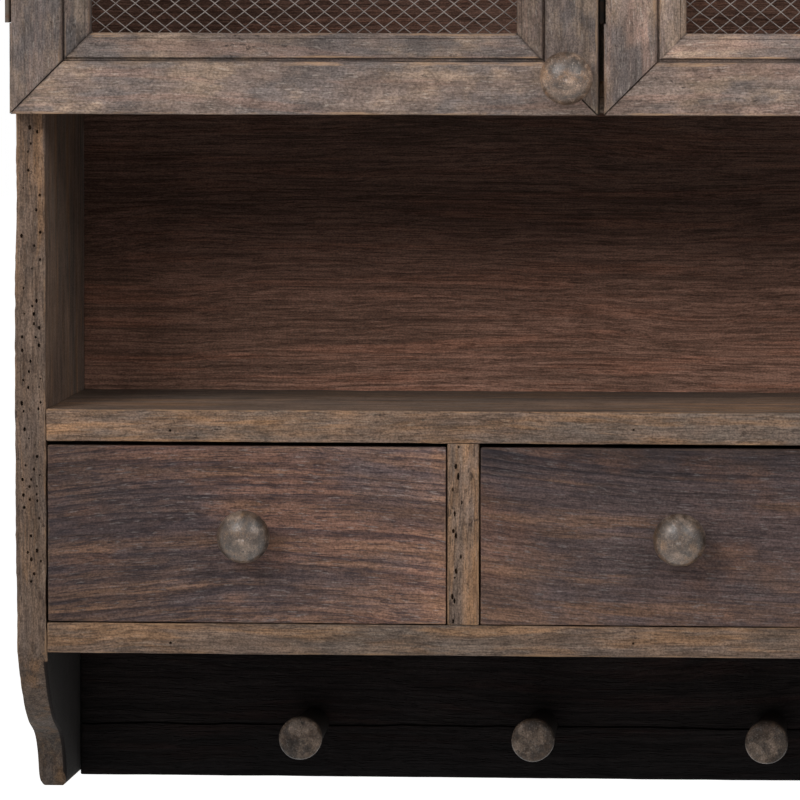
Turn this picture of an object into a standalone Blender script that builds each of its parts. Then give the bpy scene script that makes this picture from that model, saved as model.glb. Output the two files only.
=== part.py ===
"""Kitchen wall cabinet in reclaimed wood.

Three doors filled with wire mesh stand over an open niche, a row of four drawers and a
board of turned pegs. Metres, +Z up. The wall is the plane Y = 0 and the front faces -Y.
The origin is the middle of the wall face.
"""

import math

import bmesh
import bpy
from mathutils import Matrix, Vector

# Fit between touching pieces, and how far a cutter runs past the face it opens
FIT = 0.0003
PAST = 0.002

# Carcass
CARCASS_WIDTH = 1.100
SIDE_THICKNESS = 0.018
BOTTOM_THICKNESS = 0.019
SHELF_THICKNESS = 0.020
FLOOR_THICKNESS = 0.020
FLOOR_SETBACK = 0.009
TOP_THICKNESS = 0.024
TOP_OVERHANG = 0.018
TOP_EASE = 0.003
BACK_THICKNESS = 0.005
HOUSING_DEPTH = 0.006
HOUSING_STOP = 0.014

# Heights of the storeys, from the foot up
FOOT_HEIGHT = 0.0955
DRAWER_BAY_HEIGHT = 0.1135
NICHE_HEIGHT = 0.185
CUPBOARD_HEIGHT = 0.523

# Scalloped foot of the sides: an ovolo, a ledge and a cove, each with its reach, drop and bow
OVOLO_REACH = 0.053
OVOLO_DROP = 0.0495
OVOLO_BOW = 0.006
LEDGE_REACH = 0.018
LEDGE_DROP = 0.006
COVE_REACH = 0.031
COVE_DROP = 0.035
COVE_BOW = -0.007
TOE_ROUND = 0.004
ARC_STEPS = 6

# Dividers and the batten that the wall screws go through
CUPBOARD_DIVIDER_THICKNESS = 0.019
DRAWER_DIVIDER_THICKNESS = 0.0196
RAIL_HEIGHT = 0.060
RAIL_THICKNESS = 0.018
WALL_SCREW_SPACING = 0.640
WALL_SCREW_RADIUS = 0.003

# Peg board and pegs
PEG_BOARD_THICKNESS = 0.024
PEG_HEIGHT = 0.035
PEG_FIRST = 0.085
PEG_END_INSET = 0.152
PEGS_EACH_SIDE = 3
PEG_LENGTH = 0.100
PEG_NECK_RADIUS = 0.0095
PEG_HEAD_RADIUS = 0.0135
PEG_HEAD_LENGTH = 0.013
PEG_DOME = 0.002
PEG_TENON_RADIUS = 0.006
PEG_TENON_LENGTH = 0.018

# Knobs
KNOB_RADIUS = 0.0165
KNOB_PROJECTION = 0.030
KNOB_NECK_RADIUS = 0.0085
KNOB_NECK_LENGTH = 0.008
KNOB_WAIST_RADIUS = 0.0072
KNOB_TENON_RADIUS = 0.0035
KNOB_TENON_LENGTH = 0.013
TURNED_STEPS = 16
BALL_STEPS = 5

# Drawers
DRAWER_COUNT = 4
DRAWER_TOP_GAP = 0.0025
DRAWER_BOTTOM_GAP = 0.0006
DRAWER_SIDE_GAP = 0.001
DRAWER_FRONT_THICKNESS = 0.018
DRAWER_FRONT_EASE = 0.001
DRAWER_BOX_INSET = 0.001
DRAWER_BOX_LENGTH = 0.165
DRAWER_REAR_GAP = 0.0117
DRAWER_BOX_HEIGHT = 0.088
DRAWER_WALL = 0.010
DRAWER_BOTTOM_THICKNESS = 0.005
DRAWER_BOTTOM_RISE = 0.006
DRAWER_GROOVE = 0.004

# Doors
DOOR_COUNT = 3
DOOR_THICKNESS = 0.020
DOOR_GAP = 0.0036
DOOR_SIDE_LAP = 0.0014
DOOR_BOTTOM_LAP = 0.0005
DOOR_TOP_GAP = 0.003
FRAME_FACE = 0.033
FRAME_LIP = 0.012
FRAME_EASE = 0.0015
FRAME_ROUND = 0.004
BEAD_WIDTH = 0.0174
BEAD_SETBACK = 0.0015
BEAD_THICKNESS = 0.009
BEAD_ROUND = 0.003
QUIRK_WIDTH = 0.0025
QUIRK_DEPTH = 0.003
DOOR_KNOB_INSET = 0.0184
DOOR_KNOB_RISE = 0.0236

# Wire mesh of the doors, drawn coarser than the real weave
MESH_COLUMNS = 4
MESH_ROWS = 9
WIRE_WIDTH = 0.0016
WIRE_THICKNESS = 0.0012
MESH_MARGIN = 0.001

# Hinges: a slim knuckle beside the door's front edge, with a cranked leaf on the carcass
HINGE_LENGTH = 0.045
HINGE_RISE = 0.0567
KNUCKLE_RADIUS = 0.0016
KNUCKLE_OUTSET = 0.0012
KNUCKLE_DEPTH = 0.0019
PIN_RADIUS = 0.0008
LEAF_THICKNESS = 0.0009
DOOR_LEAF_WIDTH = 0.014
LEAF_INSET = 0.0001
KNUCKLE_STEPS = 12

# Levels, with the wall face's middle at zero
total_height = (FOOT_HEIGHT + BOTTOM_THICKNESS + DRAWER_BAY_HEIGHT + SHELF_THICKNESS
                + NICHE_HEIGHT + FLOOR_THICKNESS + CUPBOARD_HEIGHT + TOP_THICKNESS)
foot_level = -total_height / 2
bottom_level = foot_level + FOOT_HEIGHT
drawer_level = bottom_level + BOTTOM_THICKNESS
shelf_level = drawer_level + DRAWER_BAY_HEIGHT
niche_level = shelf_level + SHELF_THICKNESS
floor_level = niche_level + NICHE_HEIGHT
cupboard_level = floor_level + FLOOR_THICKNESS
top_level = cupboard_level + CUPBOARD_HEIGHT

# Planes shared by several pieces
half_width = CARCASS_WIDTH / 2
half_inside = half_width - SIDE_THICKNESS
back_face = -BACK_THICKNESS
front = back_face - DRAWER_REAR_GAP - DRAWER_BOX_LENGTH - FIT - DRAWER_FRONT_THICKNESS
board_rear = back_face - FIT
door_standoff = LEAF_THICKNESS + 2 * FIT
door_front = front - door_standoff - DOOR_THICKNESS

# Doors and drawers share out the width
door_width = (CARCASS_WIDTH + 2 * DOOR_SIDE_LAP - (DOOR_COUNT - 1) * DOOR_GAP) / DOOR_COUNT
door_bottom = floor_level - DOOR_BOTTOM_LAP
door_height = top_level - DOOR_TOP_GAP - door_bottom
door_pitch = door_width + DOOR_GAP
bay_width = (2 * half_inside - (DRAWER_COUNT - 1) * DRAWER_DIVIDER_THICKNESS) / DRAWER_COUNT
bay_pitch = bay_width + DRAWER_DIVIDER_THICKNESS


def finish(name, colour, roughness, metallic=0.0):
    """A plain Principled material."""
    material = bpy.data.materials.new(name)
    material.use_nodes = True
    shader = material.node_tree.nodes["Principled BSDF"]
    shader.inputs["Base Color"].default_value = (*colour, 1.0)
    shader.inputs["Roughness"].default_value = roughness
    shader.inputs["Metallic"].default_value = metallic
    return material


def block(*corners):
    """One or more boxes, each given by its lowest and highest corner."""
    shape = bmesh.new()
    for low, high in corners:
        low, high = Vector(low), Vector(high)
        size = Matrix.Diagonal(high - low).to_4x4()
        bmesh.ops.create_cube(shape, size=1.0, matrix=Matrix.Translation((low + high) / 2) @ size)
    return shape


def slab(outline, sweep):
    """A flat outline pushed along a vector."""
    shape = bmesh.new()
    face = shape.faces.new([shape.verts.new(point) for point in outline])
    grown = bmesh.ops.extrude_face_region(shape, geom=[face])["geom"]
    moved = [item for item in grown if isinstance(item, bmesh.types.BMVert)]
    bmesh.ops.translate(shape, verts=moved, vec=sweep)
    return shape


def turned(profile, steps):
    """A profile of (radius, height) points spun round Z."""
    shape = bmesh.new()
    points = [shape.verts.new((radius, 0, height)) for radius, height in profile]
    edges = [shape.edges.new(pair) for pair in zip(points, points[1:])]
    bmesh.ops.spin(shape, geom=points + edges, cent=(0, 0, 0), axis=(0, 0, 1),
                   angle=math.tau, steps=steps, use_merge=True)
    bmesh.ops.remove_doubles(shape, verts=shape.verts, dist=FIT / 10)
    return shape


def rods(places, radius, reach):
    """Round cutters along Y, each running from its place towards +Y."""
    shape = bmesh.new()
    along_y = Matrix.Rotation(math.radians(90), 4, "X")
    for place in places:
        middle = Matrix.Translation(Vector(place) + Vector((0, reach / 2, 0)))
        bmesh.ops.create_cone(shape, cap_ends=True, segments=TURNED_STEPS, radius1=radius,
                              radius2=radius, depth=reach, matrix=middle @ along_y)
    return shape


def ring(profile, width, height, place):
    """A profile of (inward, depth) points carried round a rectangle, mitred at the corners."""
    shape = bmesh.new()
    corners = []
    for right, top in ((False, False), (True, False), (True, True), (False, True)):
        corners.append([
            shape.verts.new(place(width - inward if right else inward, depth,
                                  height - inward if top else inward))
            for inward, depth in profile])
    count = len(profile)
    for first, second in zip(corners, corners[1:] + corners[:1]):
        for index in range(count):
            after = (index + 1) % count
            shape.faces.new((first[index], first[after], second[after], second[index]))
    return shape


def bowed(start, end, bow):
    """Points after start up to end along a shallow arc that bulges to the left by bow."""
    start, end = Vector(start), Vector(end)
    left = Vector((-(end - start).y, (end - start).x)).normalized()
    shares = [step / ARC_STEPS for step in range(1, ARC_STEPS + 1)]
    return [tuple(start.lerp(end, share) + left * bow * 4 * share * (1 - share))
            for share in shares]


def rounded(centre, radius):
    """Points of a quarter round about a centre, from the front face to the inner edge."""
    turns = [math.radians(angle) for angle in (-90, -60, -30, 0)]
    return [(centre[0] + radius * math.cos(turn), centre[1] + radius * math.sin(turn))
            for turn in turns]


def empty(name, place):
    """A carrier for pieces that move together, at their joint."""
    carrier = bpy.data.objects.new(name, None)
    carrier.location = place
    bpy.context.scene.collection.objects.link(carrier)
    return carrier


def piece(name, shape, material, carrier, place=(0, 0, 0), turn=(0, 0, 0), ease=0.0, smooth=False):
    """A named object made from a shape."""
    bmesh.ops.recalc_face_normals(shape, faces=shape.faces)
    mesh = bpy.data.meshes.new(name)
    shape.to_mesh(mesh)
    shape.free()
    mesh.materials.append(material)
    made = bpy.data.objects.new(name, mesh)
    made.parent = carrier
    made.location = place
    made.rotation_euler = turn
    bpy.context.scene.collection.objects.link(made)
    if ease:
        bevel = made.modifiers.new("eased_edges", "BEVEL")
        bevel.width = ease
        bevel.segments = 1
    if smooth:
        mesh.shade_smooth()
        mesh.set_sharp_from_angle(angle=math.radians(40))
    return made


def shaped(target, helper, operation):
    """Joins a helper shape to a piece, or cuts it out."""
    helper.hide_render = True
    helper.display_type = "WIRE"
    boolean = target.modifiers.new(helper.name, "BOOLEAN")
    boolean.operation = operation
    boolean.object = helper


def foot_outline():
    """Front edge of a side below the bottom board, as (behind the front, above the foot)."""
    start = (0.0, FOOT_HEIGHT)
    ovolo_end = (OVOLO_REACH, FOOT_HEIGHT - OVOLO_DROP)
    ledge_end = (ovolo_end[0] + LEDGE_REACH, ovolo_end[1] - LEDGE_DROP)
    cove_end = (ledge_end[0] + COVE_REACH, ledge_end[1] - COVE_DROP)
    points = [start]
    points += bowed(start, ovolo_end, -OVOLO_BOW)
    points.append(ledge_end)
    points += bowed(ledge_end, cove_end, -COVE_BOW)
    points.append((cove_end[0] + TOE_ROUND, 0.0))
    return points


def housing(level, thickness, hand):
    """Corners of the groove that a board's end stands in, on one side."""
    inner = hand * (half_inside - PAST)
    outer = hand * (half_inside + HOUSING_DEPTH)
    low = (min(inner, outer), front + HOUSING_STOP - FIT, level - FIT)
    high = (max(inner, outer), board_rear + FIT, level + thickness + FIT)
    return low, high


def housed_board(name, level, thickness, setback, material, carrier):
    """A board between the sides whose ends stand in stopped grooves."""
    inside = half_inside - FIT
    tongue = half_inside + HOUSING_DEPTH - FIT
    stop = front + HOUSING_STOP
    right = [(inside, front + setback), (inside, stop), (tongue, stop), (tongue, board_rear)]
    left = [(-across, depth) for across, depth in reversed(right)]
    outline = [(across, depth, level) for across, depth in right + left]
    return piece(name, slab(outline, (0, 0, thickness)), material, carrier)


def build_sides(material, carrier):
    outline = [(depth + front, rise + foot_level) for depth, rise in foot_outline()]
    outline += [(0.0, foot_level), (0.0, top_level - FIT), (front, top_level - FIT)]
    grooves = ((bottom_level, BOTTOM_THICKNESS), (shelf_level, SHELF_THICKNESS),
               (floor_level, FLOOR_THICKNESS))
    for name, hand in (("left_side", -1), ("right_side", 1)):
        loop = [(hand * half_inside, depth, rise) for depth, rise in outline]
        side = piece(name, slab(loop, (hand * SIDE_THICKNESS, 0, 0)), material, carrier)
        cuts = block(*(housing(level, thickness, hand) for level, thickness in grooves))
        shaped(side, piece(name + "_housings", cuts, material, carrier), "DIFFERENCE")


def build_boards(material, top_material, carrier):
    housed_board("bottom_board", bottom_level, BOTTOM_THICKNESS, 0.0, material, carrier)
    housed_board("niche_shelf", shelf_level, SHELF_THICKNESS, 0.0, material, carrier)
    housed_board("cupboard_floor", floor_level, FLOOR_THICKNESS, FLOOR_SETBACK, material, carrier)
    reach = half_width + TOP_OVERHANG
    top = block(((-reach, door_front - TOP_OVERHANG, top_level), (reach, 0.0, top_level + TOP_THICKNESS)))
    piece("top_board", top, top_material, carrier, ease=TOP_EASE)


def build_back(back_material, rail_material, carrier):
    inside = half_inside - FIT
    panel = block(((-inside, back_face, foot_level), (inside, 0.0, top_level - FIT)))
    back = piece("back_panel", panel, back_material, carrier)
    rail_top = top_level - FIT
    batten = block(((-inside, board_rear - RAIL_THICKNESS, rail_top - RAIL_HEIGHT),
                    (inside, board_rear, rail_top)))
    rail = piece("hanging_rail", batten, rail_material, carrier)
    start = board_rear - RAIL_THICKNESS - PAST
    places = [(hand * WALL_SCREW_SPACING / 2, start, rail_top - RAIL_HEIGHT / 2) for hand in (-1, 1)]
    holes = piece("wall_screw_holes", rods(places, WALL_SCREW_RADIUS, PAST - start),
                  rail_material, carrier)
    shaped(back, holes, "DIFFERENCE")
    shaped(rail, holes, "DIFFERENCE")


def build_dividers(material, carrier):
    rail_front = board_rear - RAIL_THICKNESS - FIT
    rail_bottom = top_level - RAIL_HEIGHT - 2 * FIT
    outline = [(front, cupboard_level + FIT), (board_rear, cupboard_level + FIT),
               (board_rear, rail_bottom), (rail_front, rail_bottom),
               (rail_front, top_level - FIT), (front, top_level - FIT)]
    for name, hand in (("cupboard_divider_left", -1), ("cupboard_divider_right", 1)):
        middle = hand * door_pitch / 2
        loop = [(middle - CUPBOARD_DIVIDER_THICKNESS / 2, depth, rise) for depth, rise in outline]
        piece(name, slab(loop, (CUPBOARD_DIVIDER_THICKNESS, 0, 0)), material, carrier)
    half = DRAWER_DIVIDER_THICKNESS / 2
    for name, place in (("left", -1), ("centre", 0), ("right", 1)):
        middle = place * bay_pitch
        upright = block(((middle - half, front, drawer_level + FIT),
                         (middle + half, board_rear, shelf_level - FIT)))
        piece("drawer_divider_" + name, upright, material, carrier)


def peg_profile():
    """A shaft that swells to a domed head, with a tenon at the board."""
    dome = [math.radians(turn) for turn in (0, 30, 60, 90)]
    shoulder = PEG_LENGTH - PEG_DOME
    profile = [(PEG_HEAD_RADIUS * math.sin(turn), shoulder + PEG_DOME * math.cos(turn)) for turn in dome]
    profile += [(PEG_HEAD_RADIUS, shoulder - PEG_HEAD_LENGTH), (PEG_NECK_RADIUS, FIT),
                (PEG_TENON_RADIUS, FIT), (PEG_TENON_RADIUS, -PEG_TENON_LENGTH),
                (0.0, -PEG_TENON_LENGTH)]
    return profile


def build_peg_board(board_material, peg_material, carrier):
    inside = half_inside - FIT
    board_front = board_rear - PEG_BOARD_THICKNESS
    plank = block(((-inside, board_front, foot_level), (inside, board_rear, bottom_level - FIT)))
    board = piece("peg_board", plank, board_material, carrier)
    pitch = (half_inside - PEG_END_INSET - PEG_FIRST) / (PEGS_EACH_SIDE - 1)
    right = [PEG_FIRST + index * pitch for index in range(PEGS_EACH_SIDE)]
    across = [-place for place in reversed(right)] + right
    level = foot_level + PEG_HEIGHT
    holes = rods([(place, board_front - PAST, level) for place in across],
                 PEG_TENON_RADIUS + FIT, PAST + PEG_TENON_LENGTH + FIT)
    shaped(board, piece("peg_holes", holes, board_material, carrier), "DIFFERENCE")
    profile = peg_profile()
    for number, place in enumerate(across, start=1):
        piece(f"peg_{number}", turned(profile, TURNED_STEPS), peg_material, carrier,
              place=(place, board_front, level), turn=(math.radians(90), 0, 0), smooth=True)


def knob_profile():
    """A ball on a short waisted neck, with the tenon that goes into the wood behind it."""
    low = -math.acos(KNOB_NECK_RADIUS / KNOB_RADIUS)
    half_ball = (KNOB_PROJECTION - KNOB_NECK_LENGTH) / (1 - math.sin(low))
    middle = KNOB_PROJECTION - half_ball
    turns = [math.pi / 2 + (low - math.pi / 2) * step / BALL_STEPS for step in range(BALL_STEPS + 1)]
    profile = [(KNOB_RADIUS * math.cos(turn), middle + half_ball * math.sin(turn)) for turn in turns]
    profile += [(KNOB_WAIST_RADIUS, KNOB_NECK_LENGTH / 2), (KNOB_NECK_RADIUS, FIT),
                (KNOB_TENON_RADIUS, FIT), (KNOB_TENON_RADIUS, -KNOB_TENON_LENGTH),
                (0.0, -KNOB_TENON_LENGTH)]
    return profile


def build_knob(name, seat, material, carrier):
    """A turned knob on a front face, with its seat in the carrier's coordinates."""
    return piece(name, turned(knob_profile(), TURNED_STEPS), material, carrier, place=seat,
                 turn=(math.radians(90), 0, 0), smooth=True)


def knob_hole(name, seat, material, carrier):
    reach = PAST + KNOB_TENON_LENGTH + FIT
    start = (seat[0], seat[1] - PAST, seat[2])
    return piece(name, rods([start], KNOB_TENON_RADIUS + FIT, reach), material, carrier)


def build_drawer(number, front_material, box_material, knob_material):
    name = f"drawer_{number}"
    middle = (number - (DRAWER_COUNT + 1) / 2) * bay_pitch
    carrier = empty(name, (middle, front, drawer_level))
    half_front = bay_width / 2 - DRAWER_SIDE_GAP
    front_top = DRAWER_BAY_HEIGHT - DRAWER_TOP_GAP
    face = block(((-half_front, 0.0, DRAWER_BOTTOM_GAP), (half_front, DRAWER_FRONT_THICKNESS, front_top)))
    panel = piece(name + "_front", face, front_material, carrier, ease=DRAWER_FRONT_EASE)
    seat = (0.0, 0.0, (DRAWER_BOTTOM_GAP + front_top) / 2)
    shaped(panel, knob_hole(name + "_knob_hole", seat, front_material, carrier), "DIFFERENCE")
    build_knob(name + "_knob", seat, knob_material, carrier)

    half_box = half_front - DRAWER_BOX_INSET
    half_hollow = half_box - DRAWER_WALL
    near = DRAWER_FRONT_THICKNESS + FIT
    far = near + DRAWER_BOX_LENGTH
    right = [(half_hollow, far - DRAWER_WALL), (half_hollow, near), (half_box, near), (half_box, far)]
    left = [(-across, depth) for across, depth in reversed(right)]
    outline = [(across, depth, FIT) for across, depth in right + left]
    walls = piece(name + "_box", slab(outline, (0, 0, DRAWER_BOX_HEIGHT)), box_material, carrier)
    groove = half_hollow + DRAWER_GROOVE
    groove_end = far - DRAWER_WALL + DRAWER_GROOVE
    rise = FIT + DRAWER_BOTTOM_RISE
    cut = block(((-groove, near - PAST, rise - FIT),
                 (groove, groove_end, rise + DRAWER_BOTTOM_THICKNESS + FIT)))
    shaped(walls, piece(name + "_groove", cut, box_material, carrier), "DIFFERENCE")
    base = block(((FIT - groove, near, rise),
                  (groove - FIT, groove_end - FIT, rise + DRAWER_BOTTOM_THICKNESS)))
    piece(name + "_bottom", base, box_material, carrier)


def frame_profile():
    """Section of the door frame: rounded towards the bead, with the lip that backs the mesh."""
    lip_front = BEAD_SETBACK + BEAD_THICKNESS + WIRE_THICKNESS + 2 * FIT
    points = [(0.0, DOOR_THICKNESS), (0.0, FRAME_EASE), (FRAME_EASE, 0.0)]
    points += rounded((FRAME_FACE - FRAME_ROUND, FRAME_ROUND), FRAME_ROUND)
    points += [(FRAME_FACE, lip_front), (FRAME_FACE + FRAME_LIP, lip_front),
               (FRAME_FACE + FRAME_LIP, DOOR_THICKNESS)]
    return points


def bead_profile():
    """Section of the strip that holds the mesh, with a quirk beside the frame."""
    outer = FRAME_FACE + FIT
    inner = FRAME_FACE + BEAD_WIDTH
    rear = BEAD_SETBACK + BEAD_THICKNESS
    quirk = BEAD_SETBACK + QUIRK_DEPTH
    points = [(outer, rear), (outer, quirk), (outer + QUIRK_WIDTH, quirk),
              (outer + QUIRK_WIDTH, BEAD_SETBACK)]
    points += rounded((inner - BEAD_ROUND, BEAD_SETBACK + BEAD_ROUND), BEAD_ROUND)
    points.append((inner, rear))
    return points


def net(width, height, place):
    """Diamond mesh of flat wires that fills a rectangle, with a wire along its border."""
    shape = bmesh.new()
    across, up = 2 * MESH_COLUMNS, 2 * MESH_ROWS
    knots = {}
    for column in range(across + 1):
        for row in range(up + 1):
            knots[column, row] = shape.verts.new(place(width * column / across, 0.0, height * row / up))
    gaps = []
    for column in range(across + 1):
        for row in range(column % 2, up + 1, 2):
            around = [(column - 1, row), (column, row - 1), (column + 1, row), (column, row + 1)]
            inside = [knot for knot in around if knot in knots]
            if len(inside) == 2:
                inside.append((column, row))
            gaps.append(shape.faces.new([knots[knot] for knot in inside]))
    shape.normal_update()
    bmesh.ops.inset_individual(shape, faces=gaps, thickness=WIRE_WIDTH / 2, use_even_offset=True)
    bmesh.ops.delete(shape, geom=gaps, context="FACES_ONLY")
    loose = [point for point in shape.verts if not point.link_faces]
    bmesh.ops.delete(shape, geom=loose, context="VERTS")
    grown = bmesh.ops.extrude_face_region(shape, geom=shape.faces[:])["geom"]
    moved = [item for item in grown if isinstance(item, bmesh.types.BMVert)]
    bmesh.ops.translate(shape, verts=moved, vec=(0, WIRE_THICKNESS, 0))
    return shape


def build_hinge(name, rise, hand, materials, panel, carriers):
    """One hinge. The carcass leaf keeps the pin and two knuckles, the door leaf the middle one."""
    door, carcass = carriers
    iron, wood = materials
    third = HINGE_LENGTH / 3

    def spot(inward, depth, up):
        return hand * (inward + KNUCKLE_OUTSET), depth - KNUCKLE_DEPTH, up

    def span(low, high):
        first, last = spot(*low), spot(*high)
        return tuple(map(min, first, last)), tuple(map(max, first, last))

    # Carcass leaf, in the door carrier's coordinates and then moved to the carcass
    place = Vector(door.location) + Vector((0, 0, rise))
    clear = KNUCKLE_DEPTH + KNUCKLE_RADIUS + FIT
    web_near = LEAF_THICKNESS / 2 - KNUCKLE_OUTSET
    web_far = -LEAF_THICKNESS / 2 - KNUCKLE_OUTSET
    flange_front = DOOR_THICKNESS + FIT
    flange_back = flange_front + LEAF_THICKNESS
    flange_reach = (CUPBOARD_DIVIDER_THICKNESS - DOOR_GAP) / 2
    bend = [(web_far, KNUCKLE_DEPTH), (web_near, KNUCKLE_DEPTH), (web_near, flange_front),
            (flange_reach, flange_front), (flange_reach, flange_back), (web_far, flange_back)]
    leaf = slab([spot(inward, depth, 0.0) for inward, depth in bend], (0, 0, HINGE_LENGTH))
    fixed = piece(name + "_carcass_leaf", leaf, iron, carcass, place=place)
    notch = block(span((web_far - PAST, KNUCKLE_DEPTH - PAST, third - FIT),
                       (web_near + PAST, clear, 2 * third + FIT)))
    shaped(fixed, piece(name + "_notch", notch, iron, carcass, place=place), "DIFFERENCE")
    spindle = [(0.0, HINGE_LENGTH), (KNUCKLE_RADIUS, HINGE_LENGTH), (KNUCKLE_RADIUS, 2 * third + FIT),
               (PIN_RADIUS, 2 * third + FIT), (PIN_RADIUS, third - FIT), (KNUCKLE_RADIUS, third - FIT),
               (KNUCKLE_RADIUS, 0.0), (0.0, 0.0)]
    knuckles = piece(name + "_spindle", turned(spindle, KNUCKLE_STEPS), iron, carcass, place=place)
    shaped(fixed, knuckles, "UNION")

    # Door leaf, let into the edge of the door
    near, far = LEAF_INSET, LEAF_INSET + LEAF_THICKNESS
    leaf_end = KNUCKLE_DEPTH + DOOR_LEAF_WIDTH
    tee = [(clear, 0.0), (clear, third + FIT), (KNUCKLE_DEPTH, third + FIT),
           (KNUCKLE_DEPTH, 2 * third - FIT), (clear, 2 * third - FIT), (clear, HINGE_LENGTH),
           (leaf_end, HINGE_LENGTH), (leaf_end, 0.0)]
    plate = slab([spot(near, depth, up) for depth, up in tee], (hand * LEAF_THICKNESS, 0, 0))
    moving = piece(name + "_door_leaf", plate, iron, door, place=(0, 0, rise))
    barrel = [(0.0, 2 * third - FIT), (KNUCKLE_RADIUS, 2 * third - FIT),
              (KNUCKLE_RADIUS, third + FIT), (0.0, third + FIT)]
    bore = [(0.0, HINGE_LENGTH), (PIN_RADIUS + FIT, HINGE_LENGTH), (PIN_RADIUS + FIT, 0.0), (0.0, 0.0)]
    shaped(moving, piece(name + "_barrel", turned(barrel, KNUCKLE_STEPS), iron, door, place=(0, 0, rise)),
           "UNION")
    shaped(moving, piece(name + "_bore", turned(bore, KNUCKLE_STEPS), iron, door, place=(0, 0, rise)),
           "DIFFERENCE")

    # Room for the leaf and the knuckles in the door's edge
    mortise = block(span((-PAST, KNUCKLE_DEPTH, -FIT), (far + FIT, leaf_end + FIT, HINGE_LENGTH + FIT)))
    shaped(panel, piece(name + "_mortise", mortise, wood, door, place=(0, 0, rise)), "DIFFERENCE")
    room = KNUCKLE_RADIUS + FIT
    hollow = [(0.0, HINGE_LENGTH + FIT), (room, HINGE_LENGTH + FIT), (room, -FIT), (0.0, -FIT)]
    shaped(panel, piece(name + "_hollow", turned(hollow, KNUCKLE_STEPS), wood, door, place=(0, 0, rise)),
           "DIFFERENCE")


def build_door(name, index, hand, materials, carcass):
    """A mesh door. hand is 1 for hinges on its left edge and -1 for hinges on its right."""
    left_edge = -half_width - DOOR_SIDE_LAP + index * door_pitch
    hinge_edge = left_edge if hand > 0 else left_edge + door_width
    axis = (hinge_edge - hand * KNUCKLE_OUTSET, door_front + KNUCKLE_DEPTH, door_bottom)
    carrier = empty(name, axis)

    def spot(inward, depth, up):
        return hand * (inward + KNUCKLE_OUTSET), depth - KNUCKLE_DEPTH, up

    wood = materials["door"]
    frame = piece(name + "_frame", ring(frame_profile(), door_width, door_height, spot), wood, carrier)
    piece(name + "_bead", ring(bead_profile(), door_width, door_height, spot), materials["bead"], carrier)
    margin = FRAME_FACE + MESH_MARGIN
    mesh_front = BEAD_SETBACK + BEAD_THICKNESS + FIT
    wires = net(door_width - 2 * margin, door_height - 2 * margin,
                lambda across, depth, up: spot(across + margin, depth + mesh_front, up + margin))
    piece(name + "_mesh", wires, materials["wire"], carrier)
    seat = spot(door_width - DOOR_KNOB_INSET, 0.0, DOOR_KNOB_RISE)
    shaped(frame, knob_hole(name + "_knob_hole", seat, wood, carrier), "DIFFERENCE")
    build_knob(name + "_knob", seat, materials["knob"], carrier)
    for place, rise in (("lower", HINGE_RISE), ("upper", door_height - HINGE_RISE - HINGE_LENGTH)):
        build_hinge(f"{name}_{place}_hinge", rise, hand, (materials["iron"], wood), frame,
                    (carrier, carcass))


def main():
    for old in list(bpy.data.objects):
        bpy.data.objects.remove(old)
    carcass_wood = finish("carcass_wood", (0.114, 0.077, 0.054), 0.7)
    top_wood = finish("top_wood", (0.15, 0.115, 0.09), 0.7)
    back_wood = finish("back_wood", (0.080, 0.042, 0.030), 0.65)
    rail_wood = finish("rail_wood", (0.10, 0.066, 0.045), 0.75)
    peg_board_wood = finish("peg_board_wood", (0.010, 0.008, 0.007), 0.6)
    peg_wood = finish("peg_wood", (0.070, 0.058, 0.050), 0.6)
    drawer_wood = finish("drawer_wood", (0.102, 0.061, 0.042), 0.6)
    box_wood = finish("drawer_box_wood", (0.16, 0.105, 0.066), 0.75)
    knob_wood = finish("knob_wood", (0.188, 0.150, 0.122), 0.55)
    door_materials = {
        "door": finish("door_wood", (0.180, 0.147, 0.133), 0.65),
        "bead": finish("bead_wood", (0.150, 0.125, 0.115), 0.65),
        "wire": finish("galvanised_wire", (0.305, 0.242, 0.223), 0.45, 0.7),
        "iron": finish("hinge_iron", (0.091, 0.070, 0.058), 0.5, 0.8),
        "knob": knob_wood,
    }
    carcass = empty("carcass", (0, 0, 0))
    build_sides(carcass_wood, carcass)
    build_boards(carcass_wood, top_wood, carcass)
    build_back(back_wood, rail_wood, carcass)
    build_dividers(carcass_wood, carcass)
    build_peg_board(peg_board_wood, peg_wood, carcass)
    for number in range(1, DRAWER_COUNT + 1):
        build_drawer(number, drawer_wood, box_wood, knob_wood)
    for index, (name, hand) in enumerate((("door_left", 1), ("door_centre", 1), ("door_right", -1))):
        build_door(name, index, hand, door_materials, carcass)


main()
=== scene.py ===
"""Dresses the kitchen wall cabinet: worn boards, mitred mesh doors, turned knobs and pegs."""

import math
import random

import bmesh
import bpy
import numpy as np
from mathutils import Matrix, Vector
from mathutils.kdtree import KDTree


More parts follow.
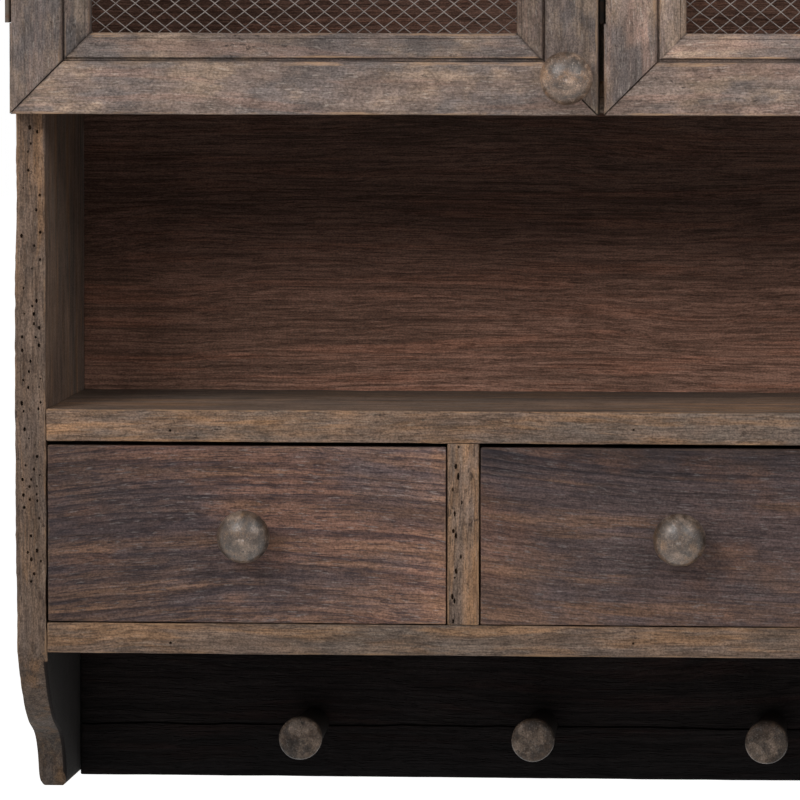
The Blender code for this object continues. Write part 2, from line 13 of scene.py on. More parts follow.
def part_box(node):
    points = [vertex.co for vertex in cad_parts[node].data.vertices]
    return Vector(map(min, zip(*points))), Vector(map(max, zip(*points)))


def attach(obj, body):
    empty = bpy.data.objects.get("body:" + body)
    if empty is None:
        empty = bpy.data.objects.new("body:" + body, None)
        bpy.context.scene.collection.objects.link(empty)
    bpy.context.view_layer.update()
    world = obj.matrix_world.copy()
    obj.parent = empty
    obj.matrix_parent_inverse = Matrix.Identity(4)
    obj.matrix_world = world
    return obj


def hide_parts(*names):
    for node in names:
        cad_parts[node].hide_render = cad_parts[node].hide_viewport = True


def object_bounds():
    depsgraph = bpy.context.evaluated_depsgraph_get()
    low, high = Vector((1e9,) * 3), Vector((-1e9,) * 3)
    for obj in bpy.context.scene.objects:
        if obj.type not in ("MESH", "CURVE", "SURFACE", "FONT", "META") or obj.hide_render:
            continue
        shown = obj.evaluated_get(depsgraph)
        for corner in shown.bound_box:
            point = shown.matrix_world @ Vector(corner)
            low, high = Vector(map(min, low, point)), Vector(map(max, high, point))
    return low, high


bl_info = {
    "name": "Kitchen wall cabinet dressing",
    "version": (1, 0, 0),
    "blender": (4, 5, 0),
    "location": "3D View > Sidebar > Cabinet",
    "description": "Worn wood, mitred mesh doors, turned knobs and pegs for the wall cabinet",
    "category": "Object",
}

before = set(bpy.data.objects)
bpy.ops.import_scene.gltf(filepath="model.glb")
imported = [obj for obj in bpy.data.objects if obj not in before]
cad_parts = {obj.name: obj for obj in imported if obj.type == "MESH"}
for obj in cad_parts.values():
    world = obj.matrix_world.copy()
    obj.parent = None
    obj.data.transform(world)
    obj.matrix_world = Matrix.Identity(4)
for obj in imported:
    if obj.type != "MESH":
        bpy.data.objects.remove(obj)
cad_low, cad_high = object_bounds()

X, Y, Z = Vector((1, 0, 0)), Vector((0, 1, 0)), Vector((0, 0, 1))
# One cut of a mesh makes at most this many parts.
MOST_PARTS = 101
# How far a cutter reaches past the face that it cuts.
PAST = 0.002
# Steps of the grids that are not as wide as the boards' own.
NARROW_GRID = 0.004
TOP_GRID = 0.006
WIDE_GRID = 0.012
# Height of the plain edge under the round of a toe.
FOOT_BASE = 0.001
DOORS = ("door_left", "door_centre", "door_right")
DRAWERS = ("drawer_1", "drawer_2", "drawer_3", "drawer_4")
LONG_BOARDS = ("bottom_board", "niche_shelf", "cupboard_floor")
STRIPS = ("left", "right", "bottom", "top")
UPRIGHT = ("left", "right")


def tone(red, green, blue):
    """A colour as it shows on a screen, turned into linear values."""
    shares = [value / 255 for value in (red, green, blue)]
    return tuple(s / 12.92 if s <= 0.04045 else ((s + 0.055) / 1.055) ** 2.4 for s in shares)


def length(label, about, value):
    return bpy.props.FloatProperty(name=label, description=about, default=value, min=0.0,
                                   precision=5, unit="LENGTH", subtype="DISTANCE")


def colour(label, about, red, green, blue):
    return bpy.props.FloatVectorProperty(name=label, description=about, size=3, min=0.0, max=1.0,
                                         default=tone(red, green, blue), subtype="COLOR")


def point(label, about, place):
    return bpy.props.FloatVectorProperty(name=label, description=about, size=3, default=place,
                                         precision=4, unit="LENGTH", subtype="TRANSLATION")


def power(label, about, value):
    return bpy.props.FloatProperty(name=label, description=about, default=value, min=0.0, unit="POWER")


def ramp(value, start, end):
    """Climbs straight from 0 at start to 1 at end."""
    return min(1.0, max(0.0, (value - start) / (end - start)))


def soften(share):
    """Rounds both ends of a climb from 0 to 1."""
    return share * share * (3 - 2 * share)


class CabinetSizes(bpy.types.PropertyGroup):
    """Sizes of the worn surfaces and of the parts that are finer than the solids."""

    board_ease: length("Board ease", "Round on the edges of the boards", 0.0008)
    board_grid: length("Board grid", "Step of the grid that the wear moves", 0.005)
    wear_depth: length("Wear depth", "How uneven a board's faces are", 0.0007)
    wear_size: length("Wear size", "Width of the dips and swells in a board", 0.035)
    front_wear_reach: length("Front wear reach", "How far the heavy wear goes back on the sides", 0.06)
    edge_reach: length("Edge reach", "How far the rubbed colour goes in from an edge", 0.0024)
    fit: length("Fit", "Clearance between pieces that touch", 0.0003)
    foot_round_reach: length("Foot round reach", "Depth of the round at the top of the foot", 0.053)
    foot_round_drop: length("Foot round drop", "Height of the round at the top of the foot", 0.0495)
    foot_round_bow: length("Foot round bow", "Swell of the round at the top of the foot", 0.006)
    foot_ledge_reach: length("Foot ledge reach", "Depth of the step in the foot", 0.018)
    foot_ledge_drop: length("Foot ledge drop", "Fall of the step in the foot", 0.006)
    foot_cove_reach: length("Foot cove reach", "Depth of the hollow above the toe", 0.031)
    foot_cove_drop: length("Foot cove drop", "Height of the hollow above the toe", 0.035)
    foot_cove_bow: length("Foot cove bow", "Sink of the hollow above the toe", 0.007)
    foot_toe_round: length("Foot toe round", "Round at the front of the toe", 0.004)
    belly: length("Belly", "Swell of the sides at the height of the drawers", 0.0014)
    worm_hole: length("Worm hole", "Radius of the largest worm holes", 0.001)
    worm_depth: length("Worm depth", "Depth of the worm holes", 0.003)
    crack_height: length("Crack height", "Height of the crack above the peg board's foot", 0.0335)
    crack_width: length("Crack width", "Width of the crack in the peg board", 0.0007)
    crack_depth: length("Crack depth", "Depth of the crack in the peg board", 0.002)
    drawer_wall: length("Drawer wall", "Thickness of the drawers' sides and backs", 0.010)
    frame_lip: length("Frame lip", "Lip of a door frame behind the mesh", 0.012)
    lip_depth: length("Lip depth", "Depth of the lip behind the front of a door", 0.0123)
    frame_round: length("Frame round", "Round on a door frame's inner edge", 0.004)
    frame_ease: length("Frame ease", "Round on a door frame's outer edge", 0.0015)
    mitre_gap: length("Mitre gap", "Half of the open line at a mitre", 0.0003)
    mitre_grime: length("Mitre grime", "How far the dirt spreads from a mitre", 0.006)
    bead_width: length("Bead width", "Width of the strips that hold the mesh", 0.0174)
    bead_setback: length("Bead setback", "How far the strips lie behind the frame's front", 0.0015)
    bead_round: length("Bead round", "Round on a strip's inner edge", 0.003)
    lip_groove: length("Lip groove", "Width and depth of the line beside a strip's round", 0.0005)
    quirk_width: length("Quirk width", "Width of the groove between frame and strip", 0.0019)
    quirk_depth: length("Quirk depth", "Depth of the groove between frame and strip", 0.003)
    diamond_width: length("Diamond width", "Width of one gap in the mesh", 0.0125)
    diamond_height: length("Diamond height", "Height of one gap in the mesh", 0.0098)
    strand: length("Strand", "Thickness of the mesh's strands", 0.00095)
    knob_dimple: length("Knob dimple", "Radius of the mark that the lathe left", 0.0011)
    nail_head: length("Nail head", "Radius of the nails' heads", 0.0022)
    nail_inset: length("Nail inset", "Distance of the nails from the edge of a board", 0.028)
    wall_screw: length("Wall screw", "Radius of the holes for the wall screws", 0.003)
    wall_screw_spacing: length("Wall screw spacing", "Distance between the wall screws' holes", 0.64)


class CabinetColours(bpy.types.PropertyGroup):
    """Colours of the woods, the wire and the iron."""

    door_body: colour("Door wood", "Grey brown of the door frames", 121, 106, 98)
    door_line: colour("Door grain", "Dark lines in the door frames", 66, 57, 53)
    door_patch: colour("Door faded", "Tan patches on the door frames", 148, 127, 110)
    door_tint: colour("Door grey", "Grey patches on the door frames", 101, 94, 92)
    door_streak: colour("Door pink", "Pinkish streaks in the door frames", 141, 114, 102)
    door_rubbed: colour("Door rubbed", "Rubbed edges of the door frames", 166, 135, 108)
    door_dust: colour("Door dust", "Pale dust in the door frames' pores", 168, 156, 146)
    drawer_body: colour("Drawer wood", "Brown of the drawer fronts", 107, 83, 72)
    drawer_line: colour("Drawer grain", "Blue black lines in the drawer fronts", 52, 45, 49)
    drawer_patch: colour("Drawer red", "Reddish patches on the drawer fronts", 120, 88, 75)
    drawer_tint: colour("Drawer grey", "Grey patches on the drawer fronts", 83, 73, 74)
    drawer_streak: colour("Drawer amber", "Amber streaks in the drawer fronts", 132, 99, 78)
    drawer_rubbed: colour("Drawer rubbed", "Rubbed edges of the drawer fronts", 134, 108, 88)
    drawer_dust: colour("Drawer dust", "Pale dust in the drawer fronts' pores", 136, 126, 122)
    carcass_body: colour("Carcass wood", "Brown of the sides and shelves", 106, 90, 80)
    carcass_line: colour("Carcass grain", "Dark lines in the sides and shelves", 52, 42, 37)
    carcass_patch: colour("Carcass tan", "Tan patches on the sides and shelves", 124, 104, 90)
    carcass_tint: colour("Carcass grey", "Grey patches on the sides and shelves", 90, 82, 76)
    carcass_streak: colour("Carcass amber", "Amber streaks on the sides and shelves", 139, 105, 76)
    carcass_rubbed: colour("Carcass rubbed", "Rubbed edges of the sides and shelves", 151, 120, 92)
    carcass_dust: colour("Carcass dust", "Pale dust on the sides and shelves", 150, 136, 122)
    back_body: colour("Back wood", "Red brown of the back", 109, 81, 69)
    back_line: colour("Back grain", "Dark pores in the back", 48, 34, 29)
    back_patch: colour("Back faded", "Paler patches on the back", 127, 97, 84)
    back_tint: colour("Back stain", "Darker patches on the back", 80, 60, 50)
    back_streak: colour("Back red", "Redder streaks in the back", 122, 84, 68)
    back_rubbed: colour("Back rubbed", "Rubbed edges of the back", 130, 98, 80)
    back_dust: colour("Back dust", "Pale dust in the back's pores", 140, 118, 106)
    peg_board_body: colour("Peg board", "Black brown stain of the peg board", 22, 18, 18)
    peg_board_line: colour("Peg board grain", "Dark lines in the peg board", 8, 7, 7)
    peg_board_patch: colour("Peg board faded", "Paler patches on the peg board", 28, 24, 23)
    peg_board_tint: colour("Peg board black", "Blackest patches on the peg board", 13, 12, 12)
    peg_board_streak: colour("Peg board red", "Reddish streaks in the peg board", 34, 22, 20)
    peg_board_rubbed: colour("Peg board rubbed", "Rubbed edges of the peg board", 44, 38, 34)
    peg_board_dust: colour("Peg board dust", "Pale dust on the peg board", 54, 50, 48)
    turned_body: colour("Turned wood", "Grey brown of the knobs and pegs", 91, 74, 62)
    turned_line: colour("Turned grain", "Dark marks on the knobs and pegs", 48, 41, 37)
    turned_patch: colour("Turned faded", "Pale patches on the knobs and pegs", 134, 114, 99)
    turned_tint: colour("Turned grey", "Grey patches on the knobs and pegs", 72, 63, 57)
    turned_streak: colour("Turned amber", "Amber patches on the knobs and pegs", 132, 102, 76)
    turned_rubbed: colour("Turned rubbed", "Rubbed edges of the knobs and pegs", 160, 146, 132)
    turned_dust: colour("Turned dust", "Pale dust on the knobs and pegs", 172, 162, 152)
    box_body: colour("Drawer box", "Plain wood of the drawer boxes", 140, 114, 88)
    box_line: colour("Drawer box grain", "Grain of the drawer boxes", 98, 74, 54)
    box_patch: colour("Drawer box pale", "Paler patches in the drawer boxes", 152, 126, 98)
    box_tint: colour("Drawer box grey", "Greyer patches in the drawer boxes", 120, 102, 84)
    box_streak: colour("Drawer box amber", "Amber streaks in the drawer boxes", 148, 112, 78)
    box_rubbed: colour("Drawer box rubbed", "Rubbed edges of the drawer boxes", 158, 134, 108)
    box_dust: colour("Drawer box dust", "Dust in the drawer boxes", 160, 146, 128)
    wire: colour("Wire", "Dull zinc of the mesh", 171, 161, 155)
    wire_dull: colour("Wire dull", "Tarnish on the mesh", 119, 108, 103)
    iron: colour("Iron", "Brown iron of the hinges", 84, 74, 66)
    # The inner hinges' iron is painted near black, as the shade in the gap between the doors.
    shade_painted_iron: colour("Black iron", "Blackened iron of the inner hinges", 18, 16, 15)
    rust: colour("Rust", "Rust on the hinges and nails", 92, 62, 44)
    floor: colour("Floor", "Pale floor", 232, 231, 229)


class CabinetStage(bpy.types.PropertyGroup):
    """Camera, light and floor."""

    camera_place: point("Camera", "Where the camera stands", (0.11878, -5.28245, 0.09574))
    camera_aim: point("Aim", "What the middle of the picture shows", (-0.31028, -0.2, -0.24513))
    camera_lens: bpy.props.FloatProperty(name="Lens", description="Focal length of the camera",
                                         default=370.3, min=1.0, unit="CAMERA")
    floor_drop: length("Floor drop", "Height of the cabinet's foot above the floor", 0.9)
    floor_size: length("Floor size", "Width of the floor", 60.0)
    lamp_reach: length("Lamp reach", "How far the lamps stand in front of the cabinet", 3.0)
    lamp_spread: length("Lamp spread", "How far the lamps stand to each side", 1.9)
    lamp_rise: length("Lamp rise", "Height of the lamps above the cabinet's middle", 1.7)
    lamp_size: length("Lamp size", "Width of the lamps", 1.6)
    left_power: power("Left power", "Power of the left lamp", 80.0)
    right_power: power("Right power", "Power of the right lamp", 48.0)
    rear_power: power("Rear power", "Power of the lamp behind the cabinet", 70.0)
    fill: bpy.props.FloatProperty(name="Fill", description="Strength of the even light all round",
                                  default=0.24, min=0.0, subtype="FACTOR", max=1.0)


# Modelling helpers


def clear_selection():
    if bpy.context.mode != "OBJECT":
        bpy.ops.object.mode_set(mode="OBJECT")
    bpy.ops.object.select_all(action="DESELECT")


def choose(piece):
    """Makes a piece the only one that operators act on."""
    clear_selection()
    piece.select_set(True)
    bpy.context.view_layer.objects.active = piece


def open_piece(piece):
    choose(piece)
    bpy.ops.object.mode_set(mode="EDIT")
    bpy.ops.mesh.select_mode(type="VERT")
    bpy.ops.mesh.select_all(action="SELECT")


def close_piece():
    bpy.ops.object.mode_set(mode="OBJECT")


def pick(piece, kind, test):
    """Selects the points, edges or faces of an open piece that pass a test, and counts them."""
    bpy.ops.mesh.select_mode(type=kind)
    bpy.ops.mesh.select_all(action="DESELECT")
    shape = bmesh.from_edit_mesh(piece.data)
    items = {"VERT": shape.verts, "EDGE": shape.edges, "FACE": shape.faces}[kind]
    found = [item for item in items if test(item)]
    for item in found:
        item.select_set(True)
    bmesh.update_edit_mesh(piece.data, loop_triangles=False, destructive=False)
    return len(found)


def runs_along(edge, axis):
    first, second = (end.co for end in edge.verts)
    return abs((second - first).normalized().dot(axis)) > 0.999


def middle_of(edge):
    return (edge.verts[0].co + edge.verts[1].co) / 2


def divide(piece, axis, pitch, test=lambda edge: True):
    """Cuts the edges of an open piece that run along an axis into steps of about one pitch."""
    def suits(edge):
        return edge.calc_length() > 0.6 * pitch and runs_along(edge, axis) and test(edge)

    shape = bmesh.from_edit_mesh(piece.data)
    longest = max(edge.calc_length() for edge in shape.edges if suits(edge))
    parts = max(1, round(longest / pitch))
    while parts > 1:
        step = min(parts, MOST_PARTS)
        pick(piece, "EDGE", suits)
        bpy.ops.mesh.subdivide(number_cuts=step - 1)
        parts = round(parts / step)


def slice_at(place, normal, keep_all=True):
    """Cuts an open piece with a plane, and takes away what lies beyond it unless all is kept."""
    bpy.ops.mesh.select_all(action="SELECT")
    bpy.ops.mesh.bisect(plane_co=place, plane_no=normal, use_fill=not keep_all,
                        clear_outer=not keep_all)


def box(name, low, high):
    """A plain box, to be shaped further or to cut with."""
    clear_selection()
    low, high = Vector(low), Vector(high)
    bpy.ops.mesh.primitive_cube_add(size=1.0, location=(low + high) / 2, scale=high - low)
    made = bpy.context.object
    made.name = made.data.name = name
    bpy.ops.object.transform_apply(location=True, rotation=True, scale=True)
    return made


def cut(piece, cutter):
    """Cuts one solid out of a piece."""
    choose(piece)
    boolean = piece.modifiers.new("cut", "BOOLEAN")
    boolean.operation = "DIFFERENCE"
    boolean.object = cutter
    bpy.ops.object.modifier_apply(modifier=boolean.name)
    bpy.data.objects.remove(cutter)


def wear(piece, depth, size, held=None, direction="NORMAL"):
    """Makes a piece's surface slightly uneven, by a weight from 0 to 1 for each place if given."""
    choose(piece)
    if held:
        weights = piece.vertex_groups.new(name="held")
        for vert in piece.data.vertices:
            weights.add([vert.index], held(vert.co), "REPLACE")
    swells = bpy.data.textures.new("swells", "CLOUDS")
    swells.noise_scale = size
    swells.noise_depth = 2
    uneven = piece.modifiers.new("uneven", "DISPLACE")
    uneven.texture = swells
    uneven.texture_coords = "LOCAL"
    uneven.strength = depth
    uneven.direction = direction
    if held:
        uneven.vertex_group = weights.name
    bpy.ops.object.modifier_apply(modifier=uneven.name)
    bpy.data.textures.remove(swells)
    if held:
        piece.vertex_groups.clear()


def ease_edges(piece, ease, sizes):
    """Rounds the edges of an open box and sets a ring inside each face, so that the rub stays narrow."""
    bpy.ops.mesh.bevel(offset=ease, segments=2, affect="EDGES")
    pick(piece, "FACE", lambda face: max(abs(share) for share in face.normal) > 0.999)
    bpy.ops.mesh.inset(thickness=sizes.edge_reach, use_individual=True)


def board(name, low, high, sizes, ease=None, grid=None):
    """A board with eased edges, on a grid fine enough to be worn."""
    made = box(name, low, high)
    open_piece(made)
    ease_edges(made, ease or sizes.board_ease, sizes)
    for axis in (X, Y, Z):
        divide(made, axis, grid or sizes.board_grid)
    close_piece()
    return made


def join(pieces):
    """Makes one piece of several."""
    clear_selection()
    for piece in pieces:
        piece.select_set(True)
    bpy.context.view_layer.objects.active = pieces[0]
    bpy.ops.object.join()
    return pieces[0]


def bore(piece, places, sizes, chance, stretch=1.0):
    """Cuts worm holes into a front face, some of them drawn out along Z into short tracks."""
    drills = []
    for spot in places:
        clear_selection()
        radius = sizes.worm_hole * chance.uniform(0.5, 1.0)
        bpy.ops.mesh.primitive_cylinder_add(
            vertices=8, radius=radius, depth=2 * sizes.worm_depth, location=spot,
            rotation=(math.pi / 2, 0, 0), scale=(1.0, chance.uniform(1.0, stretch), 1.0))
        drills.append(bpy.context.object)
    cut(piece, join(drills))


def lathe(name, profile, steps):
    """A profile of (radius, height) points turned about -Y, from the front to the seat."""
    clear_selection()
    bpy.ops.mesh.primitive_plane_add(size=PAST)
    made = bpy.context.object
    made.name = made.data.name = name
    open_piece(made)
    bpy.ops.mesh.merge(type="CENTER")
    places = [Vector((radius, -height, 0)) for radius, height in profile]
    bpy.ops.transform.translate(value=places[0])
    for first, second in zip(places, places[1:]):
        bpy.ops.mesh.extrude_vertices_move(TRANSFORM_OT_translate={"value": second - first})
    bpy.ops.mesh.select_all(action="SELECT")
    bpy.ops.mesh.spin(steps=steps, angle=math.tau, center=(0, 0, 0), axis=(0, 1, 0))
    bpy.ops.mesh.select_all(action="SELECT")
    bpy.ops.mesh.remove_doubles(threshold=PAST / 100)
    bpy.ops.mesh.normals_make_consistent(inside=False)
    close_piece()
    return made


def copy_to(piece, name, shift):
    """A copy with its own mesh, moved in its mesh."""
    made = piece.copy()
    made.data = piece.data.copy()
    made.name = made.data.name = name
    bpy.context.scene.collection.objects.link(made)
    open_piece(made)
    bpy.ops.transform.translate(value=shift)
    close_piece()
    return made


def centre_of(node):
    low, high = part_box(node)
    return (low + high) / 2


def clearance(sizes):
    return Vector((sizes.fit, sizes.fit, sizes.fit))


def mark_edges(piece, reach):
    """Stores how near each point is to an outer edge of its piece, for the rubbed colour."""
    shape = bmesh.new()
    shape.from_mesh(piece.data)
    least, most = math.radians(15), math.radians(60)
    sharp = [edge for edge in shape.edges
             if edge.is_manifold and least < edge.calc_face_angle_signed(0.0) < most]
    samples = []
    for edge in sharp:
        first, second = (end.co for end in edge.verts)
        count = max(1, round(edge.calc_length() / (reach / 4)))
        samples += [first.lerp(second, step / count) for step in range(count + 1)]
    tree = KDTree(len(samples))
    for index, sample in enumerate(samples):
        tree.insert(sample, index)
    tree.balance()
    near = [ramp(tree.find(vert.co)[2], reach, 0.0) if samples else 0.0 for vert in shape.verts]
    shape.free()
    piece.data.attributes.new("edge", "FLOAT", "POINT").data.foreach_set("value", near)


def settle(piece, body, material, slot, nodes=(), reach=0.0, **marks):
    """Finishes a piece: marks its rubbed edges, gives it its wood or metal and hangs it on its body.

    The other marks are shade, a dark layer of dirt and painted shadow, amber and calm, each of them one
    value or a function of the place.
    """
    choose(piece)
    bpy.ops.object.shade_smooth_by_angle(angle=math.radians(40))
    if reach:
        mark_edges(piece, reach)
    for label, share in marks.items():
        values = [share(vert.co) if callable(share) else share for vert in piece.data.vertices]
        piece.data.attributes.new(label, "FLOAT", "POINT").data.foreach_set("value", values)
    piece.data.materials.clear()
    piece.data.materials.append(material)
    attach(piece, body)
    if nodes:
        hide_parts(*nodes)


def dress(node, material):
    """Gives a solid of the frame a better finish."""
    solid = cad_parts[node]
    solid.data.materials.clear()
    solid.data.materials.append(material)


# Materials


class Graph:
    """Adds nodes to one tree and joins them."""

    def __init__(self, tree):
        self.tree = tree

    def add(self, kind, inputs=None, **settings):
        node = self.tree.nodes.new("ShaderNode" + kind)
        for name, value in settings.items():
            setattr(node, name, value)
        for name, value in (inputs or {}).items():
            self.feed(node.inputs[name], value)
        return node

    def feed(self, socket, value):
        if isinstance(value, bpy.types.NodeSocket):
            self.tree.links.new(value, socket)
        else:
            socket.default_value = value

    def maths(self, operation, first, second=0.0):
        return self.add("Math", {0: first, 1: second}, operation=operation).outputs[0]

    def times(self, first, second):
        return self.maths("MULTIPLY", first, second)

    def plus(self, first, second):
        return self.maths("ADD", first, second)

    def minus(self, first, second):
        return self.maths("SUBTRACT", first, second)

    def vector(self, operation, first, second):
        return self.add("VectorMath", {0: first, 1: second}, operation=operation).outputs[0]

    def blend(self, share, first, second, how="MIX"):
        return self.add("Mix", {0: share, 6: first, 7: second}, data_type="RGBA", blend_type=how,
                        clamp_factor=True).outputs[2]

    def spread(self, value, low, high, new_low=0.0, new_high=1.0):
        """Stretches a value from one range to another, softly at both ends."""
        return self.add("MapRange", {"Value": value, "From Min": low, "From Max": high,
                                     "To Min": new_low, "To Max": new_high},
                        interpolation_type="SMOOTHSTEP").outputs[0]

    def noise(self, place, scale, detail=2.0, rough=0.5):
        """Noise with its own scale along each axis, in waves to the metre."""
        stretched = self.vector("MULTIPLY", place, scale)
        return self.add("TexNoise", {"Vector": stretched, "Scale": 1.0, "Detail": detail,
                                     "Roughness": rough}).outputs[0]


def new_group(name, inputs, outputs):
    """An empty node group with its sockets: its graph, what it is given and what it puts out."""
    tree = bpy.data.node_groups.new(name, "ShaderNodeTree")
    for label, kind, value in inputs:
        socket = tree.interface.new_socket(label, in_out="INPUT", socket_type="NodeSocket" + kind)
        if value is not None:
            socket.default_value = value
    for label, kind in outputs:
        tree.interface.new_socket(label, in_out="OUTPUT", socket_type="NodeSocket" + kind)
    given = tree.nodes.new("NodeGroupInput").outputs
    out = tree.nodes.new("NodeGroupOutput").inputs
    return Graph(tree), given, out


def wood_group():
    """Weathered wood with its grain along X: bands, fibres, pores, patches, dirt with painted shadow, and
    rubbed edges.

    The noises are in waves to the metre, along the grain and across it.
    """
    known = bpy.data.node_groups.get("weathered_wood")
    if known:
        return known
    grey = (0.5, 0.5, 0.5, 1.0)
    hues = ("Body", "Line", "Patch", "Tint", "Streak", "Rubbed", "Dust")
    shares = ("Line Share", "Fibre Share", "Pore Share", "Patch Share", "Tint Share", "Streak Share",
              "Dust Share", "Edge Share", "Mottle Share", "Pit Share", "Line Count", "Patch Scale",
              "Wave", "Pitch", "Edge", "Shade", "Grime", "Amber", "Calm")
    graph, given, out = new_group(
        "weathered_wood",
        [("Place", "Vector", None)] + [(hue, "Color", grey) for hue in hues]
        + [(share, "Float", 0.0) for share in shares],
        [("Colour", "Color"), ("Roughness", "Float"), ("Height", "Float")])
    place = given["Place"]

    def share_of(mask, share):
        return graph.times(mask, given[share])

    slow = graph.minus(graph.noise(place, (3, 9, 9)), 0.5)
    quick = graph.minus(graph.noise(place, (16, 45, 45)), 0.5)
    sway = share_of(graph.plus(slow, graph.times(quick, 0.14)), "Wave")
    swayed = graph.vector("ADD", place, graph.add("CombineXYZ", {"Y": sway, "Z": sway}).outputs[0])

    rings = share_of(graph.noise(swayed, (0.9, 26, 26), 1.0), "Line Count")
    across = graph.add("SeparateXYZ", {0: swayed}).outputs["Z"]
    rings = graph.plus(rings, share_of(across, "Pitch"))
    saw = graph.maths("FRACT", rings)
    band = graph.times(graph.spread(saw, 0.3, 0.9), graph.spread(saw, 0.93, 1.0, 1.0, 0.0))
    faint = graph.spread(graph.noise(place, (3, 10, 10)), 0.38, 0.58, 0.2, 1.0)
    band = graph.times(band, faint)
    fibre = graph.spread(graph.noise(swayed, (9, 420, 420), 4.0, 0.7), 0.28, 0.72)
    pore = graph.spread(graph.noise(swayed, (95, 1100, 1100), 1.0), 0.57, 0.66)
    check = graph.spread(graph.noise(swayed, (11, 520, 520), 2.0), 0.62, 0.68)
    pore = graph.maths("MAXIMUM", pore, check)
    dust = graph.noise(graph.vector("ADD", swayed, (1.3, 4.1, 2.7)), (120, 1000, 1000), 1.0)
    dust = graph.spread(dust, 0.62, 0.7)
    speck = graph.noise(place, (750, 1000, 1000), 2.0, 0.6)
    wide = graph.add("CombineXYZ", {"X": graph.times(given["Patch Scale"], 0.5),
                                    "Y": given["Patch Scale"], "Z": given["Patch Scale"]}).outputs[0]
    patch = graph.spread(graph.noise(place, wide, 6.0, 0.65), 0.45, 0.58)
    tint = graph.noise(graph.vector("ADD", place, (3.1, 1.7, 5.3)), wide, 6.0, 0.65)
    tint = graph.spread(tint, 0.47, 0.6)
    streak = graph.noise(graph.vector("ADD", swayed, (7.7, 2.9, 0.4)), (7, 90, 90), 4.0, 0.62)
    streak = graph.spread(streak, 0.5, 0.64)
    mottle = graph.noise(graph.vector("ADD", place, (5.9, 0.8, 3.3)), (45, 110, 110), 5.0, 0.62)

    pit = graph.spread(graph.noise(place, (150, 300, 300), 3.0, 0.6), 0.62, 0.68)
    pit = graph.times(pit, graph.spread(graph.noise(place, (12, 24, 24), 3.0), 0.48, 0.6))

    chips = graph.noise(place, (22, 120, 120), 6.0, 0.68)
    mixed = graph.blend(share_of(patch, "Patch Share"), given["Body"], given["Patch"])
    mixed = graph.blend(share_of(tint, "Tint Share"), mixed, given["Tint"])
    mixed = graph.blend(share_of(streak, "Streak Share"), mixed, given["Streak"])
    warm = graph.maths("MAXIMUM", streak, graph.spread(chips, 0.35, 0.7))
    mixed = graph.blend(share_of(warm, "Amber"), mixed, given["Streak"])
    band = graph.times(band, graph.minus(1.0, given["Calm"]))
    mixed = graph.blend(share_of(band, "Line Share"), mixed, given["Line"])
    streaked = graph.blend(1.0, mixed, graph.spread(fibre, 0.0, 1.0, 0.5, 1.45), "MULTIPLY")
    mixed = graph.blend(given["Fibre Share"], mixed, streaked)
    mottled = graph.blend(1.0, mixed, graph.spread(mottle, 0.3, 0.7, 0.45, 1.55), "MULTIPLY")
    mixed = graph.blend(given["Mottle Share"], mixed, mottled)
    mixed = graph.blend(share_of(pore, "Pore Share"), mixed, given["Line"])
    mixed = graph.blend(share_of(pit, "Pit Share"), mixed, given["Line"])
    mixed = graph.blend(share_of(dust, "Dust Share"), mixed, given["Dust"])
    mixed = graph.blend(1.0, mixed, graph.spread(speck, 0.25, 0.75, 0.64, 1.36), "MULTIPLY")
    worn = graph.plus(graph.times(given["Edge"], 0.6), chips)
    rubbed = graph.spread(worn, 1.06, 1.26)
    mixed = graph.blend(share_of(rubbed, "Edge Share"), mixed, given["Rubbed"])
    # A dark layer of dirt, which also carries painted shadow where a piece asks for it.
    dirt_and_shade_level = graph.plus(given["Grime"], graph.times(chips, 0.9))
    dirt_and_shade_mask = graph.spread(dirt_and_shade_level, 1.1, 1.4)
    mixed = graph.blend(graph.times(dirt_and_shade_mask, 0.95), mixed, given["Line"])
    own = graph.vector("MULTIPLY", given["Shade"], (0.31, 0.29, 0.27))
    own = graph.vector("ADD", own, (1.0, 1.0, 1.0))
    graph.feed(out["Colour"], graph.blend(1.0, mixed, own, "MULTIPLY"))

    rough = graph.spread(fibre, 0.0, 1.0, 0.75, 0.6)
    graph.feed(out["Roughness"], graph.maths("MAXIMUM", rough, dirt_and_shade_mask))
    height = graph.minus(graph.times(fibre, 0.7), pore)
    height = graph.minus(height, graph.times(band, 0.4))
    height = graph.minus(height, share_of(pit, "Pit Share"))
    graph.feed(out["Height"], graph.plus(height, graph.times(speck, 0.5)))
    return graph.tree


def new_material(name):
    made = bpy.data.materials.new("worn_" + name)
    made.use_nodes = True
    graph = Graph(made.node_tree)
    return made, graph, made.node_tree.nodes["Principled BSDF"]


